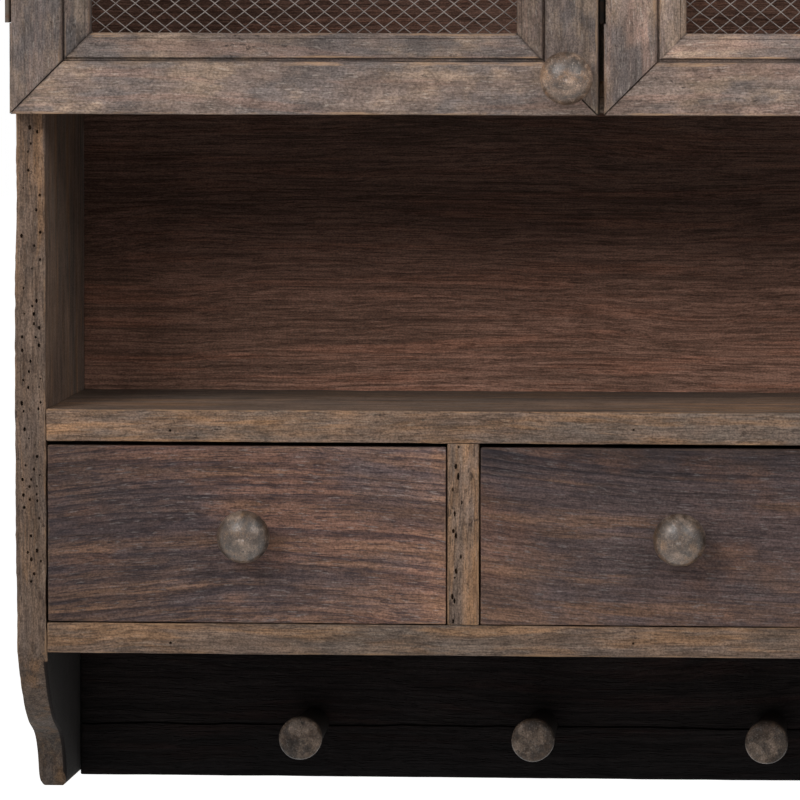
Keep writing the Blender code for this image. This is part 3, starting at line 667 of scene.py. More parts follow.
def wood(name, along, colours, bend=0.0, crown=0.0, fine=1.0, gloss=0.14, polish=1.0, relief=0.7,
         **shares):
    """A weathered wood from its colours and shares, with its grain along X, Y or Z.

    A bend makes the grain arch over a crown at X, and fine draws the grain closer together.
    """
    known = bpy.data.materials.get("worn_" + name)
    if known:
        return known
    made, graph, shader = new_material(name)
    turns = {"X": (0, 0, 0), "Y": (0, 0, -math.pi / 2), "Z": (0, math.pi / 2, 0)}
    shift = random.Random(name).uniform(-2.0, 2.0)
    spot = graph.add("TexCoord").outputs["Object"]
    if bend:
        from_crown = graph.minus(graph.add("SeparateXYZ", {0: spot}).outputs["X"], crown)
        rise = graph.times(graph.times(from_crown, from_crown), bend)
        spot = graph.vector("ADD", spot, graph.add("CombineXYZ", {"Z": rise}).outputs[0])
    place = graph.add("Mapping", {"Vector": spot, "Rotation": turns[along],
                                  "Scale": (1.0, fine, fine), "Location": (shift, shift, -shift)})
    values = {label: (*value, 1.0) for label, value in colours.items()}
    values.update({label.replace("_", " ").title(): value for label, value in shares.items()})
    values["Place"] = place.outputs[0]
    for label in ("edge", "shade", "grime", "amber", "calm"):
        values[label.title()] = graph.add("Attribute", attribute_name=label).outputs["Fac"]
    grain = made.node_tree.nodes.new("ShaderNodeGroup")
    grain.node_tree = wood_group()
    for label, value in values.items():
        graph.feed(grain.inputs[label], value)
    bump = graph.add("Bump", {"Strength": relief, "Distance": 0.0005, "Height": grain.outputs["Height"]})
    graph.feed(shader.inputs["Base Color"], grain.outputs["Colour"])
    graph.feed(shader.inputs["Roughness"], graph.times(grain.outputs["Roughness"], polish))
    graph.feed(shader.inputs["Normal"], bump.outputs[0])
    shader.inputs["Specular IOR Level"].default_value = gloss
    return made


def palette(kind):
    """The seven colours of one wood."""
    hue = bpy.context.scene.cabinet_colours
    parts = ("body", "line", "patch", "tint", "streak", "rubbed", "dust")
    return {part.title(): getattr(hue, f"{kind}_{part}") for part in parts}


def door_wood(along):
    return wood(f"door_wood_{along.lower()}", along, palette("door"),
                line_share=0.25, line_count=7, wave=0.03, fibre_share=0.16, pore_share=0.22,
                patch_share=0.9, tint_share=0.85, patch_scale=30, streak_share=0.5, dust_share=0.35,
                mottle_share=0.45, pit_share=0.8, edge_share=0.8)


def carcass_wood(along):
    return wood(f"carcass_wood_{along.lower()}", along, palette("carcass"),
                line_share=0.35, line_count=8, wave=0.03, fibre_share=0.4, pore_share=0.45,
                patch_share=0.65, tint_share=0.65, patch_scale=16, streak_share=0.58, dust_share=0.2,
                mottle_share=0.35, pit_share=0.7, edge_share=0.7)


def drawer_wood(drawer, bend, crown, bands, wave, pores):
    return wood(drawer + "_wood", "X", palette("drawer"), bend=bend, crown=crown,
                line_share=bands, line_count=10, pitch=110, wave=wave, fibre_share=0.5, pore_share=pores,
                patch_share=0.75, tint_share=0.7, patch_scale=14, streak_share=0.6, dust_share=0.4,
                mottle_share=0.25, pit_share=0.3, edge_share=0.5)


def back_wood():
    return wood("back_wood", "X", palette("back"), fine=1.6,
                line_share=0.2, line_count=9, wave=0.04, fibre_share=0.8, pore_share=0.42,
                patch_share=0.5, tint_share=0.6, patch_scale=5, streak_share=0.5, dust_share=0.2,
                mottle_share=0.15, edge_share=0.0)


def peg_board_wood():
    return wood("peg_board_wood", "X", palette("peg_board"), gloss=0.06,
                line_share=0.5, line_count=12, wave=0.03, fibre_share=0.6, pore_share=0.4,
                patch_share=0.5, tint_share=0.4, patch_scale=10, streak_share=0.5, dust_share=0.2,
                mottle_share=0.3, edge_share=0.3)


def turned_wood(name, gloss, streaks):
    return wood(name, "Y", palette("turned"), gloss=gloss, polish=0.48, relief=0.2,
                line_share=0.5, line_count=10, wave=0.03, fibre_share=0.3, pore_share=0.3,
                patch_share=1.0, tint_share=0.85, patch_scale=75, streak_share=streaks, dust_share=0.25,
                mottle_share=0.75, pit_share=0.9, edge_share=0.0)


def box_wood(along):
    return wood(f"drawer_box_wood_{along.lower()}", along, palette("box"),
                line_share=0.5, line_count=9, wave=0.03, fibre_share=0.4, pore_share=0.3,
                patch_share=0.3, tint_share=0.3, patch_scale=8, streak_share=0.3, dust_share=0.0,
                mottle_share=0.2, edge_share=0.2)


def metal(name, clean, stained, share, metallic, roughness, gloss=0.5):
    """A dull metal with stains, and a surface that is slightly uneven."""
    known = bpy.data.materials.get("worn_" + name)
    if known:
        return known
    made, graph, shader = new_material(name)
    place = graph.add("TexCoord").outputs["Object"]
    stain = graph.spread(graph.noise(place, (160, 160, 160), 5.0, 0.65), 0.4, 0.62)
    tooth = graph.noise(place, (900, 900, 900), 3.0)
    graph.feed(shader.inputs["Base Color"], graph.blend(graph.times(stain, share),
                                                        (*clean, 1.0), (*stained, 1.0)))
    graph.feed(shader.inputs["Roughness"], graph.spread(stain, 0.0, 1.0, roughness, roughness + 0.25))
    bump = graph.add("Bump", {"Strength": 0.4, "Distance": 0.0002, "Height": tooth})
    graph.feed(shader.inputs["Normal"], bump.outputs[0])
    shader.inputs["Metallic"].default_value = metallic
    shader.inputs["Specular IOR Level"].default_value = gloss
    return made


def zinc_wire():
    hue = bpy.context.scene.cabinet_colours
    return metal("galvanised_wire", hue.wire, hue.wire_dull, 0.8, 0.35, 0.45)


def iron():
    hue = bpy.context.scene.cabinet_colours
    return metal("hinge_iron", hue.iron, hue.rust, 0.7, 0.6, 0.5)


# Painted shade: near black, matt iron for the hinges that sit in the shadow of the door gap.
def shade_painted_iron():
    hue = bpy.context.scene.cabinet_colours
    return metal("shade_painted_iron", hue.shade_painted_iron, hue.rust, 0.1, 0.0, 0.75, gloss=0.05)


# Pieces


def arc(start, end, bow, steps=24):
    """Points from start up to end along a shallow arc that bulges to the left by bow."""
    start, end = Vector(start), Vector(end)
    left = Vector((-(end - start).y, (end - start).x)).normalized()
    shares = [step / steps for step in range(1, steps + 1)]
    return [start.lerp(end, share) + left * bow * 4 * share * (1 - share) for share in shares]


def foot_reach(sizes, rise):
    """How far the front edge of a side lies back at each height above the foot."""
    drops = sizes.foot_round_drop + sizes.foot_ledge_drop + sizes.foot_cove_drop + sizes.foot_toe_round
    start = Vector((0.0, drops + FOOT_BASE))
    step = start + Vector((sizes.foot_round_reach, -sizes.foot_round_drop))
    ledge = step + Vector((sizes.foot_ledge_reach, -sizes.foot_ledge_drop))
    cove = ledge + Vector((sizes.foot_cove_reach, -sizes.foot_cove_drop))
    toe = Vector((cove.x + sizes.foot_toe_round, 0.0))
    outline = [start, *arc(start, step, -sizes.foot_round_bow), ledge]
    outline += [*arc(ledge, cove, sizes.foot_cove_bow), toe]
    outline.reverse()
    return np.interp(rise, [spot.y for spot in outline], [spot.x for spot in outline])


class CABINET_OT_sides(bpy.types.Operator):
    """Make the two sides, with their scalloped feet and worm holes"""

    bl_idname = "cabinet.sides"
    bl_label = "Sides"

    # Depth and width of the front edge's wear, as shares of the boards' own, from wide dips to fine ones.
    FRONT_WEAR = ((2.4, 1.4), (1.6, 1 / 3), (0.9, 1 / 7))
    FACE_WEAR = 0.4
    FOOT_MIDDLE = 0.541
    TOE_THINNING = 0.16
    TOE_TIP = 0.004
    BELLY_REACH = 0.2
    WORM_CLUSTERS = 32
    CLUSTER_INSET = 0.01
    CLUSTER_SPREAD = 0.008
    HOLE_INSET = 0.003
    HOLE_DROP = 0.004
    HOLE_STRETCH = 1.8

    # Shades, dirt and warmth of the faces; the niche's inner face is painted paler towards its foot, as
    # light below the cupboard floor's shadow.
    FOOT_BLACK = -2.55
    NICHE_PAINTED_LIGHT = 0.6
    OUTER_SHADE = -0.1
    LOWER_FALL = 0.7
    FOOT_FALL = 1.0
    FOOT_GRIME = 2.0
    INNER_GRIME = 0.58
    TOE_AMBER = 0.6
    TOE_HEIGHT = 0.03
    EDGE_AMBER = 0.3
    EDGE_DEPTH = 0.006

    def execute(self, context):
        sizes = context.scene.cabinet_sizes
        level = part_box("bottom_board")[0].z
        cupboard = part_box("cupboard_floor")[0].z
        for number, node in enumerate(("left_side", "right_side")):
            low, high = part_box(node)
            side = box(node + "_plank", low, high)
            open_piece(side)
            ease_edges(side, sizes.board_ease, sizes)
            slice_at((0, 0, level), Z)
            slice_at((0, 0, cupboard), Z)
            divide(side, Z, sizes.board_grid, lambda edge: middle_of(edge).z > cupboard)
            divide(side, Z, sizes.board_grid / 2, lambda edge: level < middle_of(edge).z < cupboard)
            divide(side, Z, sizes.board_grid / 2, lambda edge: middle_of(edge).z < level)
            for axis in (X, Y):
                divide(side, axis, sizes.board_grid)
            self.scallop(side, sizes, low, level)
            close_piece()
            self.belly(side, sizes, low, high)
            self.age(side, sizes, low)
            chance = random.Random(number + 5)
            places = self.worm_places(sizes, low, high, level, chance)
            bore(side, places, sizes, chance, self.HOLE_STRETCH)
            self.stain(side, node, sizes, low, level, cupboard)
        return {"FINISHED"}

    def scallop(self, side, sizes, low, level):
        """Draws each row of the foot in towards the wall, and narrows the toe."""
        shape = bmesh.from_edit_mesh(side.data)
        rows = sorted({round(vert.co.z, 5) for vert in shape.verts if vert.co.z < level - PAST / 100})
        for row in rows:
            pick(side, "VERT", lambda vert: abs(vert.co.z - row) < PAST / 100)
            rise = row - low.z
            share = 1.0 + foot_reach(sizes, rise) / low.y
            thin = 1.0
            for height in (3 * sizes.foot_toe_round, self.TOE_TIP):
                thin -= self.TOE_THINNING * max(0.0, 1.0 - rise / height) ** 2
            bpy.ops.transform.resize(value=(thin, share, 1.0),
                                     center_override=(math.copysign(self.FOOT_MIDDLE, low.x), 0, 0))

    def belly(self, side, sizes, low, high):
        """Swells the outer face of a side gently at the height of the drawers."""
        outer = low.x if low.x < 0 else high.x
        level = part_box("niche_shelf")[0].z
        open_piece(side)
        pick(side, "VERT", lambda vert: abs(vert.co.x - outer) > 2 * PAST)
        bpy.ops.mesh.hide()
        pick(side, "VERT", lambda vert: not vert.hide and abs(vert.co.z - level) < PAST)
        bpy.ops.transform.translate(
            value=(math.copysign(sizes.belly, outer), 0, 0), use_proportional_edit=True,
            proportional_edit_falloff="SMOOTH", proportional_size=self.BELLY_REACH,
            use_proportional_connected=False)
        bpy.ops.mesh.reveal(select=False)
        close_piece()

    def age(self, side, sizes, low):
        """Wears a side heavily along its front edge, and lightly all over."""
        def near_front(place):
            return ramp(place.y, low.y + sizes.front_wear_reach, low.y)

        for depth, width in self.FRONT_WEAR:
            wear(side, sizes.wear_depth * depth, sizes.wear_size * width, near_front)
        wear(side, sizes.wear_depth * self.FACE_WEAR, sizes.wear_size)

    def worm_places(self, sizes, low, high, level, chance):
        """Places of the worm holes, in loose clusters on the front edge."""
        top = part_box("cupboard_floor")[0].z
        lowest, highest = level + self.HOLE_INSET, top - self.HOLE_DROP
        places = []
        for _ in range(self.WORM_CLUSTERS):
            centre = chance.uniform(level + self.CLUSTER_INSET, top - self.CLUSTER_INSET)
            for _ in range(chance.randint(2, 6)):
                across = chance.uniform(low.x + self.HOLE_INSET, high.x - self.HOLE_INSET)
                up = min(max(chance.gauss(centre, self.CLUSTER_SPREAD), lowest), highest)
                spot = Vector((across, low.y, up))
                if all((spot - other).length > 4 * sizes.worm_hole for other in places):
                    places.append(spot)
        return places

    def stain(self, side, node, sizes, low, level, cupboard):
        """Blackens the foot's inner face, darkens the outside downwards, pales the niche's inner face
        downwards as painted light, and warms the front edge.
        """
        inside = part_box("right_side")[0].x

        def inner(place):
            return abs(place.x) < inside + PAST / 2 and place.y > low.y + 2 * PAST

        def shade(place):
            if inner(place):
                # Painted light: the niche's inner face pales below the cupboard floor's shadow.
                pale = self.NICHE_PAINTED_LIGHT * ramp(place.z, cupboard - 0.04, cupboard - 0.16)
                return self.FOOT_BLACK if place.z < level else pale
            lower = self.LOWER_FALL * ramp(place.z, cupboard - 0.08, cupboard - 0.3)
            foot = self.FOOT_FALL * ramp(place.z, level, level - 0.05)
            return self.OUTER_SHADE - lower - foot

        def grime(place):
            if not inner(place):
                return 0.0
            return self.FOOT_GRIME if place.z < level else self.INNER_GRIME

        def amber(place):
            if place.y > low.y + self.EDGE_DEPTH and place.z > level:
                return 0.0
            on_toe = place.z < low.z + self.TOE_HEIGHT and not inner(place)
            return self.TOE_AMBER if on_toe else self.EDGE_AMBER

        settle(side, "carcass", carcass_wood("Z"), "carcass_wood", [node], sizes.edge_reach,
               shade=shade, grime=grime, amber=amber)


class CABINET_OT_boards(bpy.types.Operator):
    """Make the shelf, the floors, the top and the dividers"""

    bl_idname = "cabinet.boards"
    bl_label = "Boards and dividers"

    HOLES_ACROSS = (-0.454, -0.165, 0.121, 0.43)
    TOP_EASE = 0.003
    TRACKS = 14
    TRACK_STRETCH = 3.0

    # Shades and warmth of the boards.
    SHADES = {"bottom_board": 0.0, "niche_shelf": 0.85, "cupboard_floor": 0.2}
    SHELF_REAR = -1.4
    SHELF_RISE = 2.9
    SHELF_FALL = 1.3
    FOOT_AMBER = 0.25
    LEFT_AMBER = 0.5
    EDGE_DEPTH = 0.006
    DIVIDER_PALE = 0.4
    DIVIDER_AMBER = 0.85

    def execute(self, context):
        sizes = context.scene.cabinet_sizes
        for number, node in enumerate(LONG_BOARDS):
            self.long_board(number, node, sizes)
        top = board("top_board_plank", *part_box("top_board"), sizes, self.TOP_EASE, TOP_GRID)
        wear(top, sizes.wear_depth * 1.6, sizes.wear_size)
        settle(top, "carcass", carcass_wood("X"), "top_wood", ["top_board"], sizes.edge_reach)
        chance = random.Random(8)
        for place in ("left", "centre", "right"):
            self.drawer_divider("drawer_divider_" + place, sizes, chance)
        for place in ("left", "right"):
            self.cupboard_divider("cupboard_divider_" + place, sizes)
        return {"FINISHED"}

    def long_board(self, number, node, sizes):
        """A board from side to side with a few worm holes. The shelf's top darkens towards the back, a
        painted shade in its corner against the back.
        """
        low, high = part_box(node)
        high.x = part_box("right_side")[0].x - sizes.fit
        low.x = -high.x
        plank = board(node + "_plank", low, high, sizes)
        wear(plank, sizes.wear_depth * 1.2, sizes.wear_size)
        holes = [Vector((spot, low.y, low.z + (0.35 + 0.1 * turn) * (high.z - low.z)))
                 for turn, spot in enumerate(self.HOLES_ACROSS)]
        bore(plank, holes[::-1] if number else holes, sizes, random.Random(number))

        def amber(place):
            if place.y > low.y + self.EDGE_DEPTH:
                return 0.0
            return self.LEFT_AMBER * ramp(place.x, -0.1, -0.35) if number else self.FOOT_AMBER

        def shade(place):
            on_top = place.z > high.z - PAST and place.y > low.y + 2 * PAST
            if node != "niche_shelf" or not on_top:
                return self.SHADES[node]
            # Painted shade: the shelf's top darkens into the corner at its back.
            forward = ramp(place.y, high.y, low.y)
            rise = self.SHELF_RISE * soften(ramp(forward, 0.15, 0.6))
            return self.SHELF_REAR + rise - self.SHELF_FALL * ramp(forward, 0.7, 1.0)

        settle(plank, "carcass", carcass_wood("X"), "carcass_wood", [node], sizes.edge_reach,
               shade=shade, amber=amber)

    def drawer_divider(self, node, sizes, chance):
        """A short upright between two drawers, with worm tracks and a paler, warmer right half."""
        low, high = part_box(node)
        size = high - low
        upright = board(node + "_plank", low, high, sizes, grid=NARROW_GRID)
        wear(upright, sizes.wear_depth, sizes.wear_size)
        rows = [low.z + size.z * (step + chance.uniform(0.1, 0.9)) / self.TRACKS
                for step in range(self.TRACKS)]
        tracks = [Vector((low.x + chance.uniform(0.003, 0.009), low.y, row)) for row in rows]
        bore(upright, tracks, sizes, chance, self.TRACK_STRETCH)

        def right_half(place):
            return ramp((place.x - low.x) / size.x, 0.4, 0.4 + 1 / 6)

        settle(upright, "carcass", carcass_wood("Z"), "carcass_wood", [node], sizes.edge_reach,
               shade=lambda place: self.DIVIDER_PALE * right_half(place),
               amber=lambda place: self.DIVIDER_AMBER * right_half(place))

    @staticmethod
    def cupboard_divider(node, sizes):
        """A tall upright behind two doors, notched for the batten."""
        rail_low, rail_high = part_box("hanging_rail")
        upright = board(node + "_plank", *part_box(node), sizes)
        wear(upright, sizes.wear_depth, sizes.wear_size)
        gap = clearance(sizes)
        cut(upright, box("notch", rail_low - gap, rail_high + gap + Z * PAST + Y * PAST))
        settle(upright, "carcass", carcass_wood("Z"), "carcass_wood", [node], sizes.edge_reach)


class CABINET_OT_back(bpy.types.Operator):
    """Make the back sheet with its wall screw holes, and finish the batten"""

    bl_idname = "cabinet.back"
    bl_label = "Back"

    DRILL_LENGTH = 0.04

    # Shades of the rear, of the inside behind the doors and of the niche, where the fall up towards the
    # cupboard floor is painted shadow.
    REAR_PALE = 1.2
    CUPBOARD_PALE = 1.0
    NICHE_FOOT = 2.0
    NICHE_FALL = 3.1
    NICHE_ENDS = 0.5

    def execute(self, context):
        sizes = context.scene.cabinet_sizes
        low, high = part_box("back_panel")
        rail_low, rail_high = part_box("hanging_rail")
        sheet = box("back_sheet", low, high)
        open_piece(sheet)
        bpy.ops.mesh.bevel(offset=sizes.board_ease / 2, segments=2, affect="EDGES")
        for axis in (X, Z):
            divide(sheet, axis, WIDE_GRID)
        close_piece()
        wear(sheet, sizes.wear_depth * 0.5, sizes.wear_size * 2, direction="Y")
        for hand in (-1, 1):
            clear_selection()
            bpy.ops.mesh.primitive_cylinder_add(
                vertices=24, radius=sizes.wall_screw, depth=self.DRILL_LENGTH,
                location=(hand * sizes.wall_screw_spacing / 2, 0, (rail_low.z + rail_high.z) / 2),
                rotation=(math.pi / 2, 0, 0))
            cut(sheet, bpy.context.object)
        settle(sheet, "carcass", back_wood(), "back_wood", ["back_panel"], shade=self.rear_tone_and_niche_shadow(low, high))
        dress("hanging_rail", carcass_wood("X"))
        return {"FINISHED"}

    def rear_tone_and_niche_shadow(self, low, high):
        """The shade by place: pale behind, and darker up the niche than at its foot and ends, a painted
        shadow of the cupboard floor.
        """
        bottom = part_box("niche_shelf")[1].z
        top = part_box("cupboard_floor")[0].z

        def shade(place):
            if place.y > (low.y + high.y) / 2:
                return self.REAR_PALE
            if place.z > top:
                return self.CUPBOARD_PALE * ramp(place.x, -0.25, -0.15)
            # Painted shadow: the niche darkens up towards the cupboard floor.
            fall = self.NICHE_FALL * soften(ramp(place.z, bottom + 0.02, top - 0.06))
            ends = self.NICHE_ENDS * ramp(abs(place.x), high.x - 0.05, high.x - 0.02)
            return self.NICHE_FOOT + ends - fall

        return shade


class CABINET_OT_peg_board(bpy.types.Operator):
    """Make the cracked peg board and its six turned pegs"""

    bl_idname = "cabinet.peg_board"
    bl_label = "Peg board"

    PEGS = 6
    PEG_STEPS = 40
    PEG_WEAR = (0.0006, 0.012)
    PEG_GLOSS = 0.1
    PEG_STREAKS = 0.1
    HEAD_BULGE = 0.0035
    HEAD_LENGTH = 0.010
    # Shares of the head's radius and distances behind its front, along the shank.
    SHANK = ((1.0, 0.009), (0.97, 0.016), (0.9, 0.032))
    # Shares of the head's radius and of the peg's length, down to the board.
    NECK = ((0.78, 0.35), (0.7, 0.0), (0.0, 0.0))

    # Shades and dirt of the board and the pegs; the shanks are darkened as painted shadow under the
    # bottom board, on a dark stain.
    BOARD_TOP = 1.4
    BOARD_FALL = 3.0
    HEAD_SHADE = -1.6
    SHANK_SHADE = -2.2
    SHANK_SHADOW = 2.0

    def execute(self, context):
        sizes = context.scene.cabinet_sizes
        low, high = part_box("peg_board")
        self.plank(sizes, low, high)
        self.pegs(low.y)
        return {"FINISHED"}

    def plank(self, sizes, low, high):
        """A board with a crack along its middle."""
        plank = box("peg_board_plank", low, high)
        open_piece(plank)
        ease_edges(plank, sizes.board_ease, sizes)
        level = low.z + sizes.crack_height
        for rise in (-sizes.crack_width, 0.0, sizes.crack_width):
            slice_at((0, 0, level + rise), Z)
        divide(plank, X, sizes.board_grid)
        divide(plank, Z, sizes.board_grid, lambda edge: edge.calc_length() > 2 * sizes.board_grid)
        pick(plank, "VERT", lambda vert: abs(vert.co.z - level) < PAST / 100
             and vert.co.y < low.y + PAST / 10)
        bpy.ops.transform.translate(value=(0, sizes.crack_depth, 0))
        close_piece()

        def near_crack(place):
            return 1.0 if abs(place.z - level) < 2 * sizes.crack_width else 0.0

        def shade(place):
            return self.BOARD_TOP - self.BOARD_FALL * (high.z - place.z) / (high.z - low.z)

        wear(plank, 4 * sizes.crack_width, sizes.wear_size, near_crack, "Z")
        wear(plank, sizes.wear_depth, sizes.wear_size)
        settle(plank, "carcass", peg_board_wood(), "peg_board_wood", ["peg_board"], sizes.edge_reach,
               shade=shade)

    def pegs(self, seat):
        """Six turned pegs with worn heads, and shanks darkened by painted shadow on a dark stain."""
        low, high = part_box("peg_1")
        reach, head = seat - low.y, (high.x - low.x) / 2
        dome = [math.radians(turn) for turn in range(0, 91, 15)]
        rim = reach - self.HEAD_BULGE
        profile = [(head * math.sin(turn), rim + self.HEAD_BULGE * math.cos(turn)) for turn in dome]
        profile += [(head * share, reach - behind) for share, behind in self.SHANK]
        profile += [(head * share, reach * rise) for share, rise in self.NECK]

        def on_head(place):
            return seat - place.y > reach - self.HEAD_LENGTH

        # Painted shadow: the shanks under the bottom board are darker than the heads.
        def shade(place):
            return self.HEAD_SHADE if on_head(place) else self.SHANK_SHADE

        def grime(place):
            return 0.0 if on_head(place) else self.SHANK_SHADOW

        first = lathe("peg", profile, self.PEG_STEPS)
        for number in range(1, self.PEGS + 1):
            node = f"peg_{number}"
            spot = centre_of(node)
            spot.y = seat
            peg = copy_to(first, node + "_turned", spot)
            wear(peg, *self.PEG_WEAR)
            finish = turned_wood("peg_wood", self.PEG_GLOSS, self.PEG_STREAKS)
            settle(peg, "carcass", finish, "peg_wood", [node], shade=shade, grime=grime)
        bpy.data.objects.remove(first)


class CABINET_OT_drawers(bpy.types.Operator):
    """Make the drawer fronts and boxes"""

    bl_idname = "cabinet.drawers"
    bl_label = "Drawers"

    FRONT_EASE = 0.001
    # Shades at the left and right end of each front, and what its top adds to them.
    LEANS = ((-1.4, 0.8, 0.1), (-0.75, -0.85, -0.7), (0.2, -0.6, 0.2), (-0.8, 0.1, -0.3))
    # Bend and crown of each front's grain, its bands, its wave and its pores.
    GRAINS = ((0.5, -0.39, 0.62, 0.03, 0.6), (-0.25, 0.0, 0.85, 0.015, 0.35),
              (0.35, 0.2, 0.6, 0.03, 0.6), (-0.4, 0.36, 0.5, 0.03, 0.5))
    EDGE_AMBER = 0.6
    LOWER_EDGE = 0.010
    RIGHT_EDGE = 0.008
    CALM = 0.85

    def execute(self, context):
        sizes = context.scene.cabinet_sizes
        for drawer, lean, grain in zip(DRAWERS, self.LEANS, self.GRAINS):
            low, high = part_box(drawer + "_front")
            face = board(drawer + "_face", low, high, sizes, self.FRONT_EASE, NARROW_GRID)
            wear(face, sizes.wear_depth * 0.8, sizes.wear_size)
            settle(face, drawer, drawer_wood(drawer, *grain), "drawer_wood", [drawer + "_front"],
                   sizes.edge_reach, **self.marks(drawer, low, high, *lean))
            self.walls(drawer, sizes)
            dress(drawer + "_bottom", box_wood("X"))
        return {"FINISHED"}

    def marks(self, drawer, low, high, left, right, top):
        """Shade, dirt and warmth of a front by place, and where the second drawer's bands fade."""
        size = high - low

        def high_up(place):
            return ramp((place.z - low.z) / size.z, 0.65, 0.9)

        def shade(place):
            return left + (right - left) * (place.x - low.x) / size.x + top * high_up(place)

        def grime(place):
            return max(0.0, -top) * high_up(place)

        def amber(place):
            on_edge = place.z < low.z + self.LOWER_EDGE or place.x > high.x - self.RIGHT_EDGE
            return self.EDGE_AMBER if on_edge else 0.0

        def calm(place):
            return self.CALM * (1.0 - high_up(place)) if drawer == "drawer_2" else 0.0

        return {"shade": shade, "amber": amber, "calm": calm, "grime": grime}

    @staticmethod
    def walls(drawer, sizes):
        """Three boards in place of the box: two sides and the rear between them."""
        low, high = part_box(drawer + "_box")
        low.z += sizes.fit
        thick = sizes.drawer_wall
        spans = {
            "left_wall": (low, Vector((low.x + thick, high.y, high.z)), "Y"),
            "right_wall": (Vector((high.x - thick, low.y, low.z)), high, "Y"),
            "rear_wall": (Vector((low.x + thick + sizes.fit, high.y - thick, low.z)),
                          Vector((high.x - thick - sizes.fit, high.y, high.z)), "X"),
        }
        for part, (start, end, along) in spans.items():
            wall = board(f"{drawer}_{part}", start, end, sizes, grid=WIDE_GRID)
            wear(wall, sizes.wear_depth * 0.5, sizes.wear_size)
            settle(wall, drawer, box_wood(along), "drawer_box_wood", [drawer + "_box"], sizes.edge_reach)


class CABINET_OT_knobs(bpy.types.Operator):
    """Turn the knobs of the drawers and doors"""

    bl_idname = "cabinet.knobs"
    bl_label = "Knobs"

    KNOB_STEPS = 48
    KNOB_WEAR = (0.0005, 0.014)
    KNOB_GLOSS = 0.48
    KNOB_STREAKS = 0.6
    DOOR_SHADE = 1.5
    DRAWER_SHADE = -0.65
    BALL_STEPS = 16
    # Shares of the ball's radius, and of the knob's length for the rise.
    NECK = 0.52
    WAIST = 0.44
    RISE = 0.26

    def execute(self, context):
        sizes = context.scene.cabinet_sizes
        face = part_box("drawer_1_front")[0].y
        low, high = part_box("drawer_1_knob")
        profile = self.profile(sizes, face - low.y, (high.x - low.x) / 2)
        first = lathe("knob", profile, self.KNOB_STEPS)
        seats = {drawer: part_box(drawer + "_front")[0].y for drawer in DRAWERS}
        seats.update({door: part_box(door + "_frame")[0].y for door in DOORS})
        for body, seat in seats.items():
            spot = centre_of(body + "_knob")
            spot.y = seat
            knob = copy_to(first, body + "_knob_turned", spot)
            wear(knob, *self.KNOB_WEAR)
            finish = turned_wood("knob_wood", self.KNOB_GLOSS, self.KNOB_STREAKS)
            settle(knob, body, finish, "knob_wood", [body + "_knob"],
                   shade=self.DOOR_SHADE if body in DOORS else self.DRAWER_SHADE)
        bpy.data.objects.remove(first)
        return {"FINISHED"}

    def profile(self, sizes, reach, radius):
        """A ball with the lathe's mark in front, on a short waisted neck."""
        neck, waist, rise = radius * self.NECK, radius * self.WAIST, reach * self.RISE
        low = -math.acos(neck / radius)
        half = (reach - rise) / (1 - math.sin(low))
        dimple = sizes.knob_dimple
        first = math.acos(2 * dimple / radius)
        turns = [first + (low - first) * step / self.BALL_STEPS for step in range(self.BALL_STEPS + 1)]
        outline = [(0.0, reach - dimple), (dimple, reach - dimple * 0.7)]
        outline += [(radius * math.cos(turn), reach - half + half * math.sin(turn)) for turn in turns]
        outline += [(waist, rise * 0.55), (waist, rise * 0.3), (neck, 0.0), (0.0, 0.0)]
        return outline


def mitred(name, low, high, inward, corners, gap):
    """A strip of a frame, cut at 45 degrees through the frame's corners."""
    strip = box(name, low, high)
    open_piece(strip)
    for corner, other in corners:
        normal = (inward - other).normalized()
        slice_at(corner - normal * gap, normal, keep_all=False)
    close_piece()
    return strip


